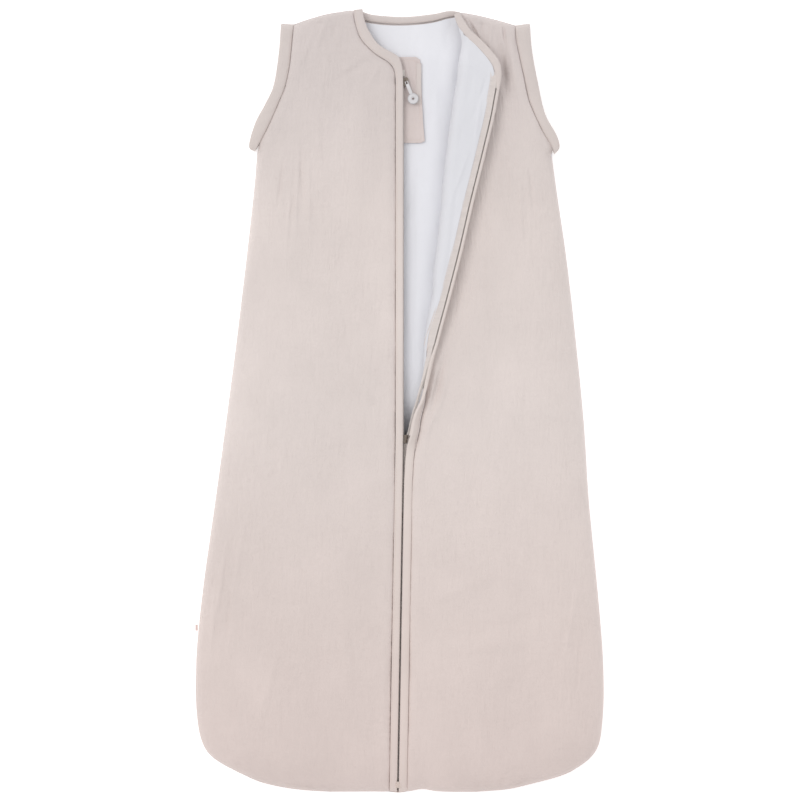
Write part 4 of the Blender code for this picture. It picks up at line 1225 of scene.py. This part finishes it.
def make_chin_guard():
    """Cloth tab behind the zip's neck end, with a stitched border."""
    low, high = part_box("chin_guard")
    rows, columns = 64, 26
    v = np.linspace(0, 1, rows)[:, None]
    u = np.linspace(0, 1, columns)[None]
    y = high[1] + (low[1] - high[1]) * v
    y = y - 3.0 * MM * smooth_step(u, 0.75, 1.0) ** 2 * (1 - smooth_step(v, 0, 0.12))
    y = y + 2.0 * MM * smooth_step(u, 0.8, 1.0) ** 2 * smooth_step(v, 0.92, 1.0)
    flare = 0.9 * MM * smooth_step(v, 0.7, 1.0) - 4.5 * MM * (1 - v)
    x = low[0] + (high[0] + flare - low[0]) * u
    border = np.minimum(np.minimum(v * 99 * MM, (1 - v) * 99 * MM), (1 - u) * 31 * MM)
    top = plateau(y) - 8.0 * MM + 0.35 * gauze(x, y)
    top -= 0.5 * MM * np.exp(-np.abs(border - 3.2 * MM) / (0.7 * MM))
    top += 0.5 * MM * noise(x / (9 * MM), y / (22 * MM), 71) - 0.5 * MM * np.exp(-border / (0.6 * MM))
    top += ridge(x, y, (14, 369), -76, 19, 1.3, -1.3) + ridge(x, y, (11.5, 369), -76, 19, 1.6, 0.7)
    top += ridge(x, y, (16, 322), 86, 16, 2.0, -0.8)
    grid = np.stack((x, y, top), axis=-1)
    shell = body_mesh(grid, DOWN, 1.5 * MM, 4)
    piece = add_piece("chin_guard_cloth", shell, guard_cloth, "bag", ("chin_guard",))
    edge = high[0] - 3.2 * MM
    top_edge = edge - 4.5 * MM
    start = low[0] + 4 * MM
    line = np.array([(start, low[1] + 3.2 * MM), (edge, low[1] + 3.2 * MM),
                     (top_edge, high[1] - 5 * MM), (start, high[1] - 3.2 * MM)])
    line = resample(line, 90)
    line = np.column_stack((line, plateau(line[:, 1]) - 8.2 * MM))
    shell = stitch_row(line)
    add_piece("chin_guard_stitches", shell, thread, "bag")
    up_side = np.linspace(341 * MM, 388 * MM, 30)
    seam = np.column_stack((np.full(30, 19.2 * MM), up_side, plateau(up_side) - 7.3 * MM))
    edge = seam + (6.0 * MM, 0, 0)
    rings = ribbon_rings(seam, edge, 1.2 * MM, ripple=0.15 * MM)
    shell = tube_mesh(rings)
    add_piece("chin_guard_border", shell, bias, "bag")


def make_zip_ends():
    """Retainer box at the neck, stop, sewn end and bar tack at the hem, and the side label."""
    for node, name, corner in (("zip_retainer_box", "retainer_box", 1.0 * MM),
                               ("zip_bottom_stop", "bottom_stop", 0.9 * MM)):
        low, high = (np.array(place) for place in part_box(node))
        half = (high - low) / 2
        outline = rounded_outline(half[0], half[1], corner, (low + high)[:2] / 2)
        box = slab(outline, low[2], high[2], 0.4 * MM)
        add_piece(name, box, nylon, "bag", (node,), HARD_SHARP)
    middle = float(zip_x(HEM_Y))
    outline = rounded_outline(11.5 * MM, 1.5 * MM, 0.8 * MM, (middle, HEM_Y + 2.0 * MM))
    fold = slab(outline, SEAM_Z - 1.6 * MM, SEAM_Z + 3.2 * MM, 0.6 * MM)
    add_piece("zip_hem_fold", fold, bias, "bag")
    rows = []
    for number in range(9):
        y = -443.5 * MM + number * 0.8 * MM
        middle = float(zip_x(y))
        level = float(front_height(np.array(middle), np.array(y))) + 0.3 * MM
        x = np.linspace(middle - 3.4 * MM + 0.25 * number * MM, middle + 3.4 * MM - 0.25 * number * MM, 5)
        bow = level + 0.3 * MM * np.sin(np.linspace(0, math.pi, 5))
        rows.append(bar_between(np.column_stack((x, np.full(5, y), bow)), 0.42 * MM, 6))
    shell = join_meshes(rows)
    add_piece("bar_tack", shell, thread, "bag")
    low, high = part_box("side_label")
    z = (low[2] + high[2]) / 2
    t = np.linspace(-math.pi / 2, math.pi / 2, 9)
    fold = [(high[0], z - 0.6 * MM)]
    fold += [(low[0] + 0.8 * MM - 0.8 * MM * math.cos(a), z + 0.6 * MM * math.sin(a)) for a in t]
    fold += [(high[0], z + 0.6 * MM), (high[0], z + 0.15 * MM), (low[0] + 0.9 * MM, z + 0.1 * MM),
             (low[0] + 0.9 * MM, z - 0.1 * MM), (high[0], z - 0.15 * MM)]
    rings = [[(x, y, level) for x, level in fold] for y in np.linspace(low[1], high[1], 9)]
    shell = tube_mesh(rings)
    add_piece("side_label_ribbon", shell, label_ribbon, "bag", ("side_label",))


# ---------------------------------------------------------------- stage

SKY = 0.76
LAMPS = (("key", (-0.62, 0.36, 1.0), 0.78, 28, (1.0, 0.99, 0.98)),
         ("fill", (0.9, 0.2, 1.5), 0.25, 40, (0.97, 0.985, 1.0)))
CAMERA_HEIGHT = 6.0
MID_HEIGHT = 15 * MM
FRAME_WIDTH = 0.920                              # what the camera sees at that height
SENSOR = 36


def make_stage():
    floor = bpy.data.meshes.new("floor")
    floor.from_pydata([(-6, -6, 0), (6, -6, 0), (6, 6, 0), (-6, 6, 0)], [], [(0, 1, 2, 3)])
    shader = Shader("pale_floor", (0.97, 0.97, 0.97, 1.0), 0.9)
    shader.main.inputs["Emission Color"].default_value = (1.0, 1.0, 1.0, 1.0)
    shader.main.inputs["Emission Strength"].default_value = 0.35
    floor.materials.append(shader.material)
    ground = bpy.data.objects.new("floor", floor)
    ground.location.z = -0.2 * MM
    bpy.context.scene.collection.objects.link(ground)

    world = bpy.data.worlds.new("studio")
    bpy.context.scene.world = world
    world.use_nodes = True
    sky = world.node_tree.nodes["Background"]
    sky.inputs["Color"].default_value = (1.0, 1.0, 1.0, 1.0)
    sky.inputs["Strength"].default_value = SKY

    for name, way, power, angle, colour in LAMPS:
        data = bpy.data.lights.new(name, "SUN")
        data.energy = power
        data.angle = math.radians(angle)
        data.color = colour
        made = bpy.data.objects.new(name, data)
        made.rotation_euler = Vector(way).to_track_quat("Z", "Y").to_euler()
        made.location = Vector(way) * 2
        bpy.context.scene.collection.objects.link(made)

    data = bpy.data.cameras.new("camera")
    data.sensor_width = SENSOR
    data.lens = SENSOR * (CAMERA_HEIGHT - MID_HEIGHT) / FRAME_WIDTH
    made = bpy.data.objects.new("camera", data)
    made.location = (0.6 * MM, 0.6 * MM, CAMERA_HEIGHT)
    bpy.context.scene.collection.objects.link(made)
    bpy.context.scene.camera = made
    bpy.context.scene.view_settings.view_transform = "Standard"


make_back()
make_back_lining()
make_left_front()
make_right_front()
make_flap_cloth()
make_flap_edge()
make_zip()
make_bindings()
make_armhole_bands()
make_sliders()
make_pulls()
make_chin_guard()
make_zip_ends()
make_stage()
